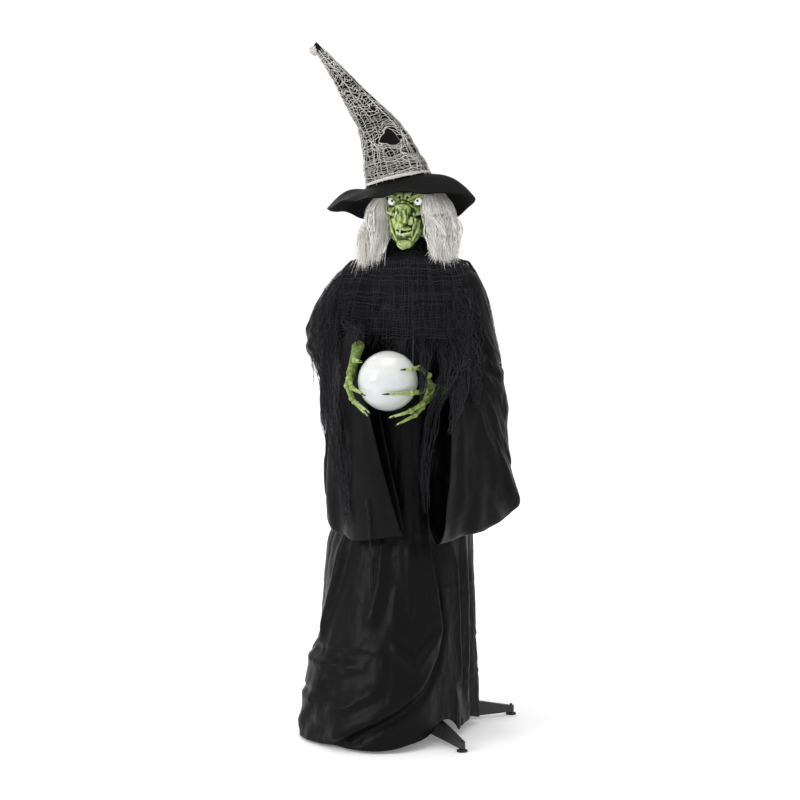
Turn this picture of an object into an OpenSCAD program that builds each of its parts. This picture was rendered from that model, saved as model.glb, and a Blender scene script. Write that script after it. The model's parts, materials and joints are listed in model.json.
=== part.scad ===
// Animated standing witch figure: four-legged base, two-piece pole, turning waist,
// turning head with talking jaw and lit eyes, arms that lift a lit globe, soft clothes.
// Millimetres, +Z up, origin on the floor under the pole, the figure looks towards -Y.

/* [Base and pole] */
// Distance of each foot from the pole axis
foot_radius = 300; // [260:1:330]
// Thickness of a leg blade
leg_thick = 16; // [12:1:20]
// Outer radius of the steel pole
pole_r = 12.7; // [10:0.1:14]
// Wall of the steel pole
pole_wall = 1.5; // [1:0.1:2]

/* [Drives] */
// Gear module at waist and neck
gear_m = 1.5; // [1:0.25:2]
// Teeth on the waist gear
waist_teeth = 60; // [40:1:60]
// Teeth on the waist pinion
waist_pinion_teeth = 15; // [12:1:20]
// Teeth on the neck gear
neck_teeth = 40; // [30:1:44]
// Teeth on the neck pinion
neck_pinion_teeth = 16; // [12:1:20]
// Teeth on the jaw gear, module 1
jaw_teeth = 32; // [28:1:36]
// Teeth on the jaw pinion, module 1
jaw_pinion_teeth = 12; // [12:1:16]
// Height of the jaw rod
jaw_z = 1346; // [1340:1:1350]
// Resting turn of the head towards the figure's left
head_yaw = 8; // [0:1:12]

/* [Globe and clothes] */
// Radius of the globe
globe_r = 76.2; // [70:0.1:80]
// Thickness of the cloth shells
cloth = 3; // [2:0.5:4]
// Height of the hem above the floor
hem_z = 5; // [4:1:10]

/* [Output] */
// Sub-part to draw

/* [Hidden] */
$fn = 48;
pole_in = pole_r - pole_wall;
run = 0.05;
globe_c = [21, -240, 945];
waist_cd = gear_m*(waist_teeth + waist_pinion_teeth)/2;
neck_cd = gear_m*(neck_teeth + neck_pinion_teeth)/2;
jaw_cd = (jaw_teeth + jaw_pinion_teeth)/2;
jaw_y = -14;
bar_y = -30;
bar_z = 1140;

// ---- helpers ----
function flat(l) = [for (a = l) for (b = a) b];
function sg(x) = x < 0 ? -1 : 1;
function pw(x, e) = sg(x)*pow(abs(x), e);
function lerp3(a, b, t) = a + (b - a)*t;

// closed tube of cloth: outer rings downwards, then inner rings upwards
module ring_shell(rings) {
  n = len(rings[0]);
  m = len(rings);
  polyhedron(points = flat(rings), faces = [for (i = [0:m - 1]) for (j = [0:n - 1])
    let (a = i*n + j, b = i*n + (j + 1)%n, c = ((i + 1)%m)*n + (j + 1)%n, d = ((i + 1)%m)*n + j)
    each [[a, b, c], [a, c, d]]]);
}
// open sheet with thickness: outer and inner grids, rows downwards, columns by rising angle
module sheet(o, q) {
  m = len(o);
  n = len(o[0]);
  k = m*n;
  polyhedron(points = concat(flat(o), flat(q)), faces = concat(
    [for (i = [0:m - 2]) for (j = [0:n - 2])
      let (a = i*n + j, b = a + 1, c = b + n, d = a + n)
      each [[a, b, c], [a, c, d], [a + k, c + k, b + k], [a + k, d + k, c + k]]],
    [for (j = [0:n - 2]) let (a = j, b = j + 1) each [[b, a, a + k], [b, a + k, b + k]]],
    [for (j = [0:n - 2]) let (a = (m - 1)*n + j, b = a + 1) each [[a, b, b + k], [a, b + k, a + k]]],
    [for (i = [0:m - 2]) let (a = i*n, d = a + n) each [[a, d, d + k], [a, d + k, a + k]]],
    [for (i = [0:m - 2]) let (a = i*n + n - 1, d = a + n) each [[d, a, a + k], [d, a + k, d + k]]]));
}
// solid loft, rings from top to bottom, flat caps
module loft(rings) {
  n = len(rings[0]);
  m = len(rings);
  polyhedron(points = flat(rings), faces = concat(
    [[for (j = [n - 1:-1:0]) j]], [[for (j = [0:n - 1]) (m - 1)*n + j]],
    [for (i = [0:m - 2]) for (j = [0:n - 1])
      let (a = i*n + j, b = i*n + (j + 1)%n, c = (i + 1)*n + (j + 1)%n, d = (i + 1)*n + j)
      each [[a, b, c], [a, c, d]]]));
}
// straight round rod between two points
module rod(a, b, r) {
  d = b - a;
  l = norm(d);
  translate(a) rotate([0, acos(d[2]/l), atan2(d[1], d[0])]) cylinder(r = r, h = l);
}
module ball(p, r) { translate(p) sphere(r = r); }
function tt(r, rb) = r <= rb ? 0 : sqrt(r*r/(rb*rb) - 1)*180/PI;
function ivp(r, rb) = tt(r, rb) - atan(tt(r, rb)*PI/180);
module gear2(z, m) {
  rp = m*z/2;
  rb = rp*cos(20);
  rr = rp - 1.25*m;
  ra = rp + m;
  r1 = max(rb, rr + 0.05);
  rs = [rr, r1, r1 + (ra - r1)*0.35, r1 + (ra - r1)*0.7, ra];
  bl = 0.15/rp*180/PI;
  h = [for (r = rs) 90/z - bl - (ivp(max(r, rb), rb) - ivp(rp, rb))];
  polygon([for (k = [0:z - 1]) each concat(
    [for (i = [0:4]) rs[i]*[cos(360/z*k - h[i]), sin(360/z*k - h[i])]],
    [for (i = [4:-1:0]) rs[i]*[cos(360/z*k + h[i]), sin(360/z*k + h[i])]])]);
}
module at_head() { rotate([0, 0, head_yaw]) children(); }

// ---- base ----
module leg() {
  difference() {
    union() {
      translate([0, leg_thick/2, 0]) rotate([90, 0, 0]) linear_extrude(leg_thick)
        polygon([[18.3, 8], [foot_radius, 8], [foot_radius, 25], [250, 36], [215, 44], [150, 55],
          [80, 67], [40, 76], [18.3, 76]]);
      translate([foot_radius, 0, 8]) cylinder(r = leg_thick/2, h = 17);
    }
    translate([foot_radius, 0, 0]) cylinder(r = 3 + run, h = 40);
    translate([32, 0, 26]) rotate([90, 0, 0]) cylinder(r = 2.6, h = 60, center = true);
    translate([32, 0, 60]) rotate([90, 0, 0]) cylinder(r = 2.6, h = 60, center = true);
  }
}
module base_hub() color([0.09, 0.09, 0.1]) difference() {
  union() {
    translate([0, 0, 6]) cylinder(r = 30, h = 77);
    for (a = [45:90:315]) rotate([0, 0, a]) translate([10, -15, 7.5]) cube([32, 30, 72.5]);
  }
  translate([0, 0, 12]) cylinder(r = pole_r + run, h = 90);
  translate([0, 0, 0]) cylinder(r = 4.25, h = 20);
  for (a = [45:90:315]) rotate([0, 0, a]) {
    translate([18, -leg_thick/2 - 0.15, 0]) cube([40, leg_thick + 0.3, 100]);
    for (z = [26, 60]) translate([32, 0, z]) rotate([90, 0, 0]) cylinder(r = 2.6, h = 60, center = true);
  }
  translate([0, 0, 50]) rotate([90, 0, 0]) cylinder(r = 3.55, h = 40);
}
module legs() color([0.1, 0.1, 0.11]) for (a = [45:90:315]) rotate([0, 0, a]) leg();
module screws() color([0.6, 0.6, 0.62]) {
  for (a = [45:90:315], z = [26, 60]) rotate([0, 0, a]) translate([32, 0, z]) rotate([90, 0, 0]) {
    translate([0, 0, -19]) cylinder(r = 2.5, h = 34.3);
    translate([0, 0, 15.2]) cylinder(r = 4.6, h = 3.2);
    translate([0, 0, -18.6]) cylinder(r = 4.4, h = 3.4, $fn = 6);
  }
  for (p = [[-48, -48], [48, -48], [-48, 66], [48, 66]]) translate([p[0], p[1], 0]) {
    translate([0, 0, 758]) cylinder(r = 1.5, h = 43);
    translate([0, 0, 800.2]) cylinder(r = 3, h = 2);
  }
}
module foot(a) rotate([0, 0, a]) translate([foot_radius, 0, 0]) {
  cylinder(r = 14, h = 4);
  cylinder(r = 3, h = 30);
}
module foot_fr() color([0.05, 0.05, 0.05]) foot(-45);
module foot_fl() color([0.05, 0.05, 0.05]) foot(-135);
module foot_rr() color([0.05, 0.05, 0.05]) foot(45);
module foot_rl() color([0.05, 0.05, 0.05]) foot(135);
module lower_pole() color([0.12, 0.12, 0.13]) difference() {
  translate([0, 0, 12.2]) cylinder(r = pole_r, h = 547.8);
  translate([0, 0, 0]) cylinder(r = pole_in, h = 600);
  translate([0, 0, 50]) rotate([90, 0, 0]) cylinder(r = 3.55, h = 40);
  translate([0, 0, 530]) rotate([90, 0, 0]) cylinder(r = 3.55, h = 40);
}
module middle_pole() color([0.13, 0.13, 0.14]) difference() {
  union() {
    translate([0, 0, 500]) cylinder(r = pole_in - run, h = 62);
    translate([0, 0, 560.2]) cylinder(r = pole_r, h = 189.6);
  }
  translate([0, 0, 490]) cylinder(r = pole_in - 1.6, h = 300);
  translate([0, 0, 530]) rotate([90, 0, 0]) cylinder(r = 3.55, h = 40);
}
module snap(z, out) translate([0, 0, z]) rotate([90, 0, 0]) {
  translate([0, 0, 5]) cylinder(r = 3.5, h = out - 5);
}
module snap_low() color([0.7, 0.7, 0.72]) snap(50, 32.6);
module snap_mid() color([0.7, 0.7, 0.72]) snap(530, 15.4);
module case_outline(o = 0) {
  translate([-54 + o, -54 + o]) square([108 - 2*o, 126 - 2*o]);
}
module waist_case_lower() color([0.14, 0.14, 0.15]) difference() {
  union() {
    translate([0, 0, 752]) linear_extrude(23) case_outline();
    translate([0, 0, 722]) cylinder(r = 18, h = 30);
  }
  difference() {
    translate([0, 0, 755]) linear_extrude(30) case_outline(3);
    for (p = [[-48, -48], [48, -48], [-48, 66], [48, 66]]) translate([p[0], p[1], 750]) cylinder(r = 4, h = 40);
    translate([0, 0, 750]) cylinder(r = 17, h = 14);
  }
  translate([0, 0, 700]) cylinder(r = pole_r + run, h = 50);
  translate([0, 0, 757]) cylinder(r = pole_r + run, h = 40);
  translate([0, waist_cd, 740]) cylinder(r = 3.6, h = 40);
  for (p = [[-48, -48], [48, -48], [-48, 66], [48, 66]]) translate([p[0], p[1], 757]) cylinder(r = 1.55, h = 40);
}
module waist_case_upper() color([0.14, 0.14, 0.15]) difference() {
  translate([0, 0, 775.2]) linear_extrude(24.8) case_outline();
  difference() {
    translate([0, 0, 770]) linear_extrude(27) case_outline(3);
    for (p = [[-48, -48], [48, -48], [-48, 66], [48, 66]]) translate([p[0], p[1], 760]) cylinder(r = 4, h = 50);
    translate([0, 0, 786]) cylinder(r = 17, h = 14);
    translate([0, waist_cd, 790]) cylinder(r = 6, h = 14);
  }
  translate([0, 0, 760]) cylinder(r = pole_r + run, h = 60);
  translate([0, waist_cd, 780]) cylinder(r = 3 + run, h = 16);
  for (p = [[-48, -48], [48, -48], [-48, 66], [48, 66]]) translate([p[0], p[1], 757]) cylinder(r = 1.55, h = 60);
}
module waist_motor() color([0.55, 0.56, 0.58]) difference() {
  translate([0, waist_cd, 690]) union() {
    cylinder(r = 18, h = 42);
    translate([0, 0, 42]) cylinder(r = 16, h = 19.8);
    translate([0, 0, -6]) cylinder(r = 6, h = 6.1);
  }
  translate([0, waist_cd, 728]) cylinder(r = 3 + run, h = 40);
}
module waist_pinion() color([0.85, 0.85, 0.8]) translate([0, waist_cd, 0]) {
  translate([0, 0, 730]) cylinder(r = 3, h = 64);
  translate([0, 0, 767]) linear_extrude(12) rotate([0, 0, -90 + 180/waist_pinion_teeth]) gear2(waist_pinion_teeth, gear_m);
}

// ---- robe below the waist ----
// rows: height, right, left, front, back, pleat depth, squareness of the left side
skirt = [[798, 146, 146, 146, 146, 0, 2], [700, 147, 147, 147, 147, 1, 2], [600, 149, 149, 149, 149, 1.5, 2],
  [508, 150, 150, 150, 150, 2, 2], [470, 166, 190, 185, 172, 4, 2], [420, 176, 235, 222, 200, 6, 2],
  [335, 180, 268, 262, 235, 7, 2.1], [240, 178, 284, 292, 270, 7, 2.2], [150, 174, 294, 312, 296, 6, 2.3],
  [70, 170, 297, 326, 312, 5, 2.4], [0, 166, 298, 330, 316, 4, 2.4]];
ns = 44;
function skirt_pt(w, t, off) = let (
    e = 2/(cos(t) < 0 ? w[6] : 2),
    a = (cos(t) < 0 ? w[2] : w[1]), b = (sin(t) < 0 ? w[3] : w[4]),
    p = w[5]*cos(t*11) - off,
    lift = (w[0] == 0 ? hem_z : 0) + (w[0] < 120 ? max(0, 62 - w[0])*pow(max(0, cos(t)), 0.5) : 0)
      + (w[0] == 70 ? 40*max(0, cos(t)) : 0))
  [(a + p)*pw(cos(t), e), (b + p)*pw(sin(t), e), w[0] + lift];
module robe_skirt() color([0.03, 0.03, 0.035]) ring_shell(concat(
  [for (w = skirt) [for (j = [0:ns - 1]) skirt_pt(w, 360/ns*j, 0)]],
  [for (i = [len(skirt) - 1:-1:0]) [for (j = [0:ns - 1]) skirt_pt(skirt[i], 360/ns*j, cloth)]]));

// ---- turning upper body ----
module torso_post() color([0.13, 0.13, 0.14]) difference() {
  translate([0, 0, 757.3]) cylinder(r = pole_r, h = 420.5);
  translate([0, 0, 750]) cylinder(r = pole_in, h = 440);
}
module waist_gear() color([0.85, 0.85, 0.8]) translate([0, 0, 768]) difference() {
  union() {
    linear_extrude(10) rotate([0, 0, 90]) gear2(waist_teeth, gear_m);
    translate([0, 0, -3]) cylinder(r = 18, h = 20);
  }
  translate([0, 0, -5]) cylinder(r = pole_r + 0.02, h = 40);
}
module control_box() color([0.12, 0.12, 0.13]) difference() {
  union() {
    translate([-46, 18, 880]) cube([92, 42, 134]);
    for (z = [895, 985]) translate([-20, -18, z]) cube([40, 40, 14]);
  }
  translate([-43, 21, 883]) cube([86, 40, 128]);
  for (z = [890]) translate([0, 0, z]) cylinder(r = pole_r + run, h = 120);
  translate([40, 34, 955]) cube([10, 5, 16]);
  translate([30, 15, 1016]) rotate([-90, 0, 0]) cylinder(r = 3, h = 1);
}
module control_cover() color([0.13, 0.13, 0.14]) difference() {
  union() {
    translate([-46, 60.2, 880]) cube([92, 3, 134]);
    for (s = [-1, 1]) translate([s*33.7 - 1.5, 63, 886]) cube([3, 5, 60]);
    for (s = [-1, 1]) translate([s*31.9 - 3.3, 66, 886]) cube([6.6, 2, 60]);
  }
  translate([-26, 55, 893]) cube([52, 20, 46]);
  for (x = [-9:6:9], z = [-9:6:9]) translate([24 + x, 50, 985 + z]) rotate([-90, 0, 0]) cylinder(r = 1.6, h = 30);
}
module battery_door() color([0.16, 0.16, 0.17]) {
  translate([-31.9, 63.4, 890]) cube([63.8, 2.3, 54]);
  for (z = [896, 900, 904]) translate([-10, 65.6, z]) cube([20, 1.4, 1.6]);
}
module batteries() color([0.7, 0.55, 0.2]) for (x = [-27, 0, 27]) translate([x, 41, 890]) {
  cylinder(r = 12.8, h = 48);
  cylinder(r = 3.5, h = 50);
}
module circuit_board() color([0.05, 0.3, 0.12]) {
  translate([-41, 30, 950]) cube([48, 1.6, 54]);
  translate([-34, 31.5, 970]) cube([14, 3, 14]);
  translate([-12, 31.5, 960]) cube([8, 6, 20]);
  translate([-36, 31.5, 955]) cube([10, 8, 6]);
}
module speaker() color([0.15, 0.15, 0.16]) translate([24, 58.6, 985]) rotate([90, 0, 0]) rotate_extrude()
  polygon([[0, 4], [6, 4], [14, 0.5], [16, 1.4], [18, 0], [18, 3], [10, 12], [10, 20], [0, 20]]);
module power_switch() color([0.6, 0.1, 0.08]) {
  translate([41, 34.5, 961]) cube([9, 4, 4]);
}
module shoulder_bracket() color([0.16, 0.16, 0.17]) difference() {
  union() {
    translate([-22, -48, 1122]) cube([44, 66, 36]);
  }
  translate([0, 0, 1100]) cylinder(r = pole_r + run, h = 80);
  translate([0, bar_y, bar_z]) rotate([0, 90, 0]) cylinder(r = 8 + run, h = 100, center = true);
}
module shoulder_hanger() color([0.14, 0.14, 0.15]) difference() {
  union() {
    translate([-25, -18.5, 1096]) cube([50, 41, 20]);
    for (s = [-1, 1]) {
      rod([s*20, 12, 1106], [s*70, 20, 1150], 6);
      ball([s*70, 20, 1150], 8);
      rod([s*70, 20, 1150], [s*131, 8, 1160], 6);
      ball([s*131, 8, 1160], 9);
    }
  }
  translate([0, 0, 1080]) cylinder(r = pole_r + run, h = 60);
}
module neck_outline(o = 0) translate([-36 + o, -36 + o]) square([72 - 2*o, 98 - 2*o]);
module neck_case() color([0.14, 0.14, 0.15]) difference() {
  union() {
    translate([0, 0, 1178]) linear_extrude(20) neck_outline();
    translate([0, 0, 1160]) cylinder(r = 18, h = 19);
  }
  difference() {
    translate([0, 0, 1181]) linear_extrude(30) neck_outline(3);
    translate([0, 0, 1170]) cylinder(r = 13, h = 14);
  }
  translate([0, 0, 1150]) cylinder(r = pole_r + run, h = 28);
  translate([0, 0, 1180]) cylinder(r = 8 + run, h = 20);
  translate([0, neck_cd, 1170]) cylinder(r = 3.6, h = 30);
}
module neck_lid() color([0.15, 0.15, 0.16]) difference() {
  union() {
    translate([0, 0, 1198.2]) linear_extrude(4) neck_outline();
    translate([0, 0, 1199]) cylinder(r = 13, h = 12);
    translate([0, neck_cd, 1199]) cylinder(r = 7, h = 8);
  }
  translate([0, 0, 1180]) cylinder(r = 8 + run, h = 40);
  translate([0, neck_cd, 1180]) cylinder(r = 3 + run, h = 24);
}
module neck_motor() color([0.55, 0.56, 0.58]) difference() {
  translate([0, neck_cd, 1126]) union() {
    cylinder(r = 15, h = 38);
    translate([0, 0, 38]) cylinder(r = 12, h = 13.8);
    translate([0, 0, -5]) cylinder(r = 5, h = 5.1);
  }
  translate([0, neck_cd, 1150]) cylinder(r = 3 + run, h = 40);
}
module neck_pinion() color([0.85, 0.85, 0.8]) translate([0, neck_cd, 0]) {
  translate([0, 0, 1153]) cylinder(r = 3, h = 50);
  translate([0, 0, 1185]) linear_extrude(9) rotate([0, 0, -90 + 180/neck_pinion_teeth]) gear2(neck_pinion_teeth, gear_m);
}
// rows: height, half width, front, back
bodice = [[1224, 74, 66, 62], [1219, 104, 76, 76], [1206, 134, 84, 84], [1182, 146, 92, 88], [1130, 148, 100, 94],
  [1050, 146, 108, 98], [950, 144, 122, 108], [870, 145, 134, 122], [800, 148, 144, 138]];
nb = 40;
function bod(w, t, off) = [(w[1] - off)*cos(t), (sin(t) < 0 ? w[2] - off : w[3] - off)*sin(t), w[0] - (off > 0 && w[0] > 1200 ? off : 0)];
module armholes(r) for (s = [-1, 1]) translate([s*140 - 45, bar_y, bar_z]) rotate([0, 90, 0]) cylinder(r = r, h = 90);
module robe_top() color([0.03, 0.03, 0.035]) difference() {
  ring_shell(concat(
    [for (w = bodice) [for (j = [0:nb - 1]) bod(w, 360/nb*j, 0)]],
    [for (i = [len(bodice) - 1:-1:0]) [for (j = [0:nb - 1]) bod(bodice[i], 360/nb*j, cloth)]]));
  armholes(18);
}
// gauze over shoulders and chest; rows: height, half width, front, back
gauze = [[1229, 80, 72, 66], [1224.5, 107, 81, 80], [1211, 139, 89, 89], [1182, 151, 97, 93], [1130, 153, 105, 99],
  [1090, 152, 110, 101], [1045, 151, 114, 103], [990, 150, 122, 108]];
function rag(i, t) = i < 7 ? 0 : 18*sin(t*3) + 12*cos(t*8);
module shawl() color([0.04, 0.04, 0.05]) difference() {
  ring_shell(concat(
    [for (i = [0:7]) [for (j = [0:nb - 1]) bod(gauze[i], 360/nb*j, 0) + [0, 0, rag(i, 360/nb*j)]]],
    [for (i = [7:-1:0]) [for (j = [0:nb - 1]) bod(gauze[i], 360/nb*j, 2) + [0, 0, rag(i, 360/nb*j) + (i < 3 ? 0.6 : 0)]]]));
  armholes(21);
}
// hanging gauze strip: rows of centre, half width, tapering
module strip(rows) sheet(
  [for (r = rows) [for (k = [-1:0.5:1]) [r[0] + k*r[3], r[1] - 2*(1 - k*k), r[2]]]],
  [for (r = rows) [for (k = [-1:0.5:1]) [r[0] + k*r[3], r[1] - 2*(1 - k*k) + 2, r[2]]]]);
module shawl_strands() color([0.04, 0.04, 0.05]) {
  strip([[72, -119, 968, 14], [66, -131, 930, 18], [58, -142, 870, 16], [52, -150, 790, 12], [50, -154, 700, 8], [48, -158, 620, 4]]);
  strip([[-4, -126, 968, 12], [-5, -134, 920, 11], [-6, -140, 860, 8], [-7, -146, 800, 3]]);
}
module collar() color([0.04, 0.04, 0.05]) ring_shell([for (r = [[1266, 55], [1250, 60], [1234, 66], [1234, 63.5], [1250, 57.5], [1266, 52.5]])
  [for (j = [0:31]) let (t = 360/32*j, q = r[1] + 1.5*cos(t*8)) [q*cos(t), q*sin(t), r[0]]]]);

// ---- head, in its own frame looking towards -Y ----
hz = [1283, 1300, 1322, 1345, 1370, 1400, 1420, 1436, 1450];
function hw(z) = lookup(z, [[1283, 22], [1300, 38], [1322, 50], [1345, 57], [1370, 62], [1400, 66], [1420, 62], [1436, 48], [1450, 26]]);
function hf(z) = lookup(z, [[1283, 82], [1290, 88], [1300, 84], [1322, 76], [1345, 74], [1370, 76], [1400, 78], [1420, 74], [1436, 56], [1450, 30]]);
function hb(z) = lookup(z, [[1283, 20], [1322, 60], [1345, 74], [1370, 84], [1400, 88], [1420, 82], [1436, 62], [1450, 34]]);
function nose(z) = lookup(z, [[1318, 0], [1326, 30], [1334, 46], [1346, 42], [1370, 27], [1395, 14], [1410, 7], [1424, 0]]);
function brow(z) = lookup(z, [[1402, 0], [1412, 5], [1420, 6], [1430, 0]]);
function head_pt(z, t, off) = let (
    c = cos(t), s = sin(t), x = (hw(z) - off)*c,
    y = -20 + (s < 0 ? hf(z) - off : hb(z) - off)*s,
    n = s < 0 ? nose(z)*exp(-x*x/260)*(off > 0 ? 0.92 : 1) + brow(z)*exp(-pow(abs(x) - 26, 2)/300) : 0)
  [x, y - n, z];
function split_z(t) = 1321 + 22*pow(abs(t + 90)/72, 1.6);
nt = 25;
function mt(j) = -90 + (j - 12)*6.1;
zu = [for (k = [0:10]) k/10];
function up_z(t, k) = 1440 + (split_z(t) + 1.2 - 1440)*k;
module mask_front() color([0.3, 0.42, 0.14]) at_head() difference() {
  sheet([for (k = zu) [for (j = [0:nt - 1]) head_pt(up_z(mt(j), k), mt(j), 0)]],
    [for (k = zu) [for (j = [0:nt - 1]) head_pt(up_z(mt(j), k), mt(j), 3)]]);
  for (s = [-1, 1]) translate([s*34, -60, 1400]) rotate([90, 0, 0]) cylinder(r = 12, h = 60);
}
function low_z(t, k) = split_z(t) - 1.2 + (1284 - split_z(t))*k;
module jaw_shell() color([0.32, 0.44, 0.15]) at_head() sheet(
  [for (k = [0:0.2:1]) [for (j = [1:nt - 2]) head_pt(low_z(mt(j), k), mt(j), 0)]],
  [for (k = [0:0.2:1]) [for (j = [1:nt - 2]) head_pt(low_z(mt(j), k), mt(j), 3)]]);
module back_shell() color([0.08, 0.08, 0.09]) at_head() sheet(
  [for (z = [1436, 1420, 1400, 1370, 1352]) [for (j = [0:20]) head_pt(z, -8 + j*9.8, 0)]],
  [for (z = [1436, 1420, 1400, 1370, 1352]) [for (j = [0:20]) head_pt(z, -8 + j*9.8, 3)]]);
module eyes() color([0.95, 0.95, 0.9]) at_head() for (s = [-1, 1]) translate([s*34, -78, 1400]) rotate([90, 0, 0])
  rotate_extrude() difference() {
    circle(r = 11.4);
    circle(r = 9.8);
    translate([-30, -20]) square([30, 40]);
    translate([-1, -20]) square([30, 17]);
  }
module eye_lamps() color([0.9, 0.9, 0.95]) at_head() for (s = [-1, 1]) translate([s*34, -62, 1400]) rotate([90, 0, 0]) {
  cylinder(r = 7, h = 2);
  translate([0, 0, 1.9]) cylinder(r = 2.5, h = 6);
}
module neck_shaft() color([0.6, 0.6, 0.62]) {
  translate([0, 0, 1180.3]) cylinder(r = 8, h = 140);
}
module neck_gear() color([0.85, 0.85, 0.8]) translate([0, 0, 1186]) difference() {
  linear_extrude(8) rotate([0, 0, 90]) gear2(neck_teeth, gear_m);
  translate([0, 0, -5]) cylinder(r = 8.02, h = 40);
}
module head_frame() color([0.16, 0.16, 0.17]) at_head() difference() {
  union() {
    translate([-12, -12, 1300]) cube([24, 30, 26]);
    translate([-30, -16, 1322.2]) cube([60, 66, 4]);
    for (s = [-1, 1]) translate([s*32 - 2, -24, 1322.2]) cube([4, 60, 40]);
    translate([-34, -58, 1358]) cube([68, 12, 4]);
    for (s = [-1, 1]) translate([s*32 - 2, -56, 1358]) cube([4, 92, 4]);
    for (s = [-1, 1]) translate([s*34 - 8, -59, 1361]) cube([16, 4, 50]);
    rotate([0, 0, -head_yaw]) translate([0, 0, 1298]) cylinder(r = 13, h = 10);
  }
  translate([0, 0, 1290]) cylinder(r = 8.02, h = 30.8);
  translate([0, jaw_y, jaw_z]) rotate([0, 90, 0]) cylinder(r = 2.5 + run, h = 100, center = true);
}
module jaw_motor() color([0.55, 0.56, 0.58]) at_head() difference() {
  union() {
    translate([-24, jaw_y + jaw_cd, jaw_z]) rotate([0, 90, 0]) cylinder(r = 10, h = 28);
    translate([-10, 10, 1326.4]) cube([12, 26, 12]);
  }
  translate([-8, jaw_y + jaw_cd, jaw_z]) rotate([0, 90, 0]) cylinder(r = 1.5 + run, h = 40);
}
module jaw_pinion() color([0.85, 0.85, 0.8]) at_head() translate([0, jaw_y + jaw_cd, jaw_z]) rotate([0, 90, 0]) {
  translate([0, 0, -6]) cylinder(r = 1.5, h = 24);
  translate([0, 0, 9]) linear_extrude(6) rotate([0, 0, -90 + 180/jaw_pinion_teeth]) gear2(jaw_pinion_teeth, 1);
}
module jaw_bracket() color([0.7, 0.7, 0.72]) at_head() {
  translate([0, jaw_y, jaw_z]) rotate([0, 90, 0]) {
    translate([0, 0, -40]) cylinder(r = 2.5, h = 80);
    translate([0, 0, 10]) linear_extrude(4) rotate([0, 0, 90]) gear2(jaw_teeth, 1);
  }
  for (s = [-1, 1]) {
    translate([s*39 - 1.5, -40, jaw_z - 5]) cube([3, 31, 10]);
    translate([s*39 - 1.5, -42, jaw_z - 37]) cube([3, 8, 42]);
  }
  translate([-40.5, -42, jaw_z - 40]) cube([81, 8, 4]);
  translate([-5, -92, jaw_z - 40]) cube([10, 52, 4]);
}
// wig locks; rows: height, centre x, centre y, half width, half depth
module lock(rows) loft([for (r = rows) [for (j = [0:15]) let (t = 22.5*j, q = 1 + 0.08*cos(4*t)) [r[1] + r[3]*q*cos(t), r[2] + r[4]*q*sin(t), r[0]]]]);
module wig_left() color([0.82, 0.81, 0.78]) lock([[1412, 96, -36, 14, 34], [1390, 98, -40, 18, 36], [1350, 104, -44, 26, 30],
  [1300, 112, -46, 34, 24], [1262, 112, -48, 30, 18], [1240, 112, -50, 16, 10]]);
module wig_right() color([0.82, 0.81, 0.78]) lock([[1402, -96, -40, 14, 34], [1385, -98, -44, 18, 36], [1350, -100, -50, 30, 30],
  [1300, -96, -56, 38, 22], [1262, -96, -58, 32, 18], [1240, -98, -60, 16, 10]]);
// hat; rows: centre, radius, tilt
hat = [[[-40, 5, 1454], 84, 13], [[-58, 11, 1505], 75.7, 13], [[-81, 16, 1554], 63.5, 14], [[-108, 22, 1601], 50, 15.5],
  [[-144, 27, 1644], 41, 17], [[-181, 33, 1687], 30.8, 18], [[-218, 39, 1730], 20.9, 20], [[-257, 44, 1773], 12.7, 26], [[-296, 49, 1806], 6, 40]];
nh = 32;
function hat_pt(i, t, off) = let (w = hat[i], r = max(1.5, w[1] - off))
  w[0] + [r*cos(t)*cos(w[2]), r*sin(t), r*cos(t)*sin(w[2])];
module hat_cone() color([0.05, 0.05, 0.05]) ring_shell(concat(
  [for (i = [8:-1:0]) [for (j = [0:nh - 1]) hat_pt(i, 360/nh*j, 0)]],
  [for (i = [0:8]) [for (j = [0:nh - 1]) hat_pt(i, 360/nh*j, 3)]]));
module hat_gauze() color([0.8, 0.77, 0.7]) ring_shell(concat(
  [for (i = [7:-1:0]) [for (j = [0:nh - 1]) hat_pt(i, 360/nh*j, -6 - 1.2*cos(360/nh*j*8)) + (i == 0 ? [-5, 1.6, 14] : [0, 0, 0])]],
  [for (i = [0:7]) [for (j = [0:nh - 1]) hat_pt(i, 360/nh*j, -2) + (i == 0 ? [-5, 1.6, 14] : [0, 0, 0])]]));
brim = [[0, 205, 1404], [30, 172, 1418], [60, 152, 1398], [90, 150, 1382], [120, 152, 1368], [150, 158, 1356], [180, 190, 1386],
  [210, 172, 1396], [240, 160, 1410], [270, 158, 1417], [300, 165, 1416], [330, 182, 1408], [360, 205, 1404]];
function brim_pt(k, t, dz) = let (
    r1 = lookup(t, [for (b = brim) [b[0], b[1]]]), z1 = lookup(t, [for (b = brim) [b[0], b[2]]]),
    z0 = 1452 + 84*cos(t)*sin(13), r = 87.5 + (r1 - 87.5)*k)
  [-40 + r*cos(t), 5 + r*sin(t), z0 + (z1 - z0)*pow(k, 0.85) + dz];
module hat_brim() color([0.05, 0.05, 0.05]) ring_shell(concat(
  [for (k = [0:0.25:1]) [for (j = [0:35]) brim_pt(k, j*10, 0)]],
  [for (k = [1:-0.25:0]) [for (j = [0:35]) brim_pt(k, j*10, -2.5)]]));

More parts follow.
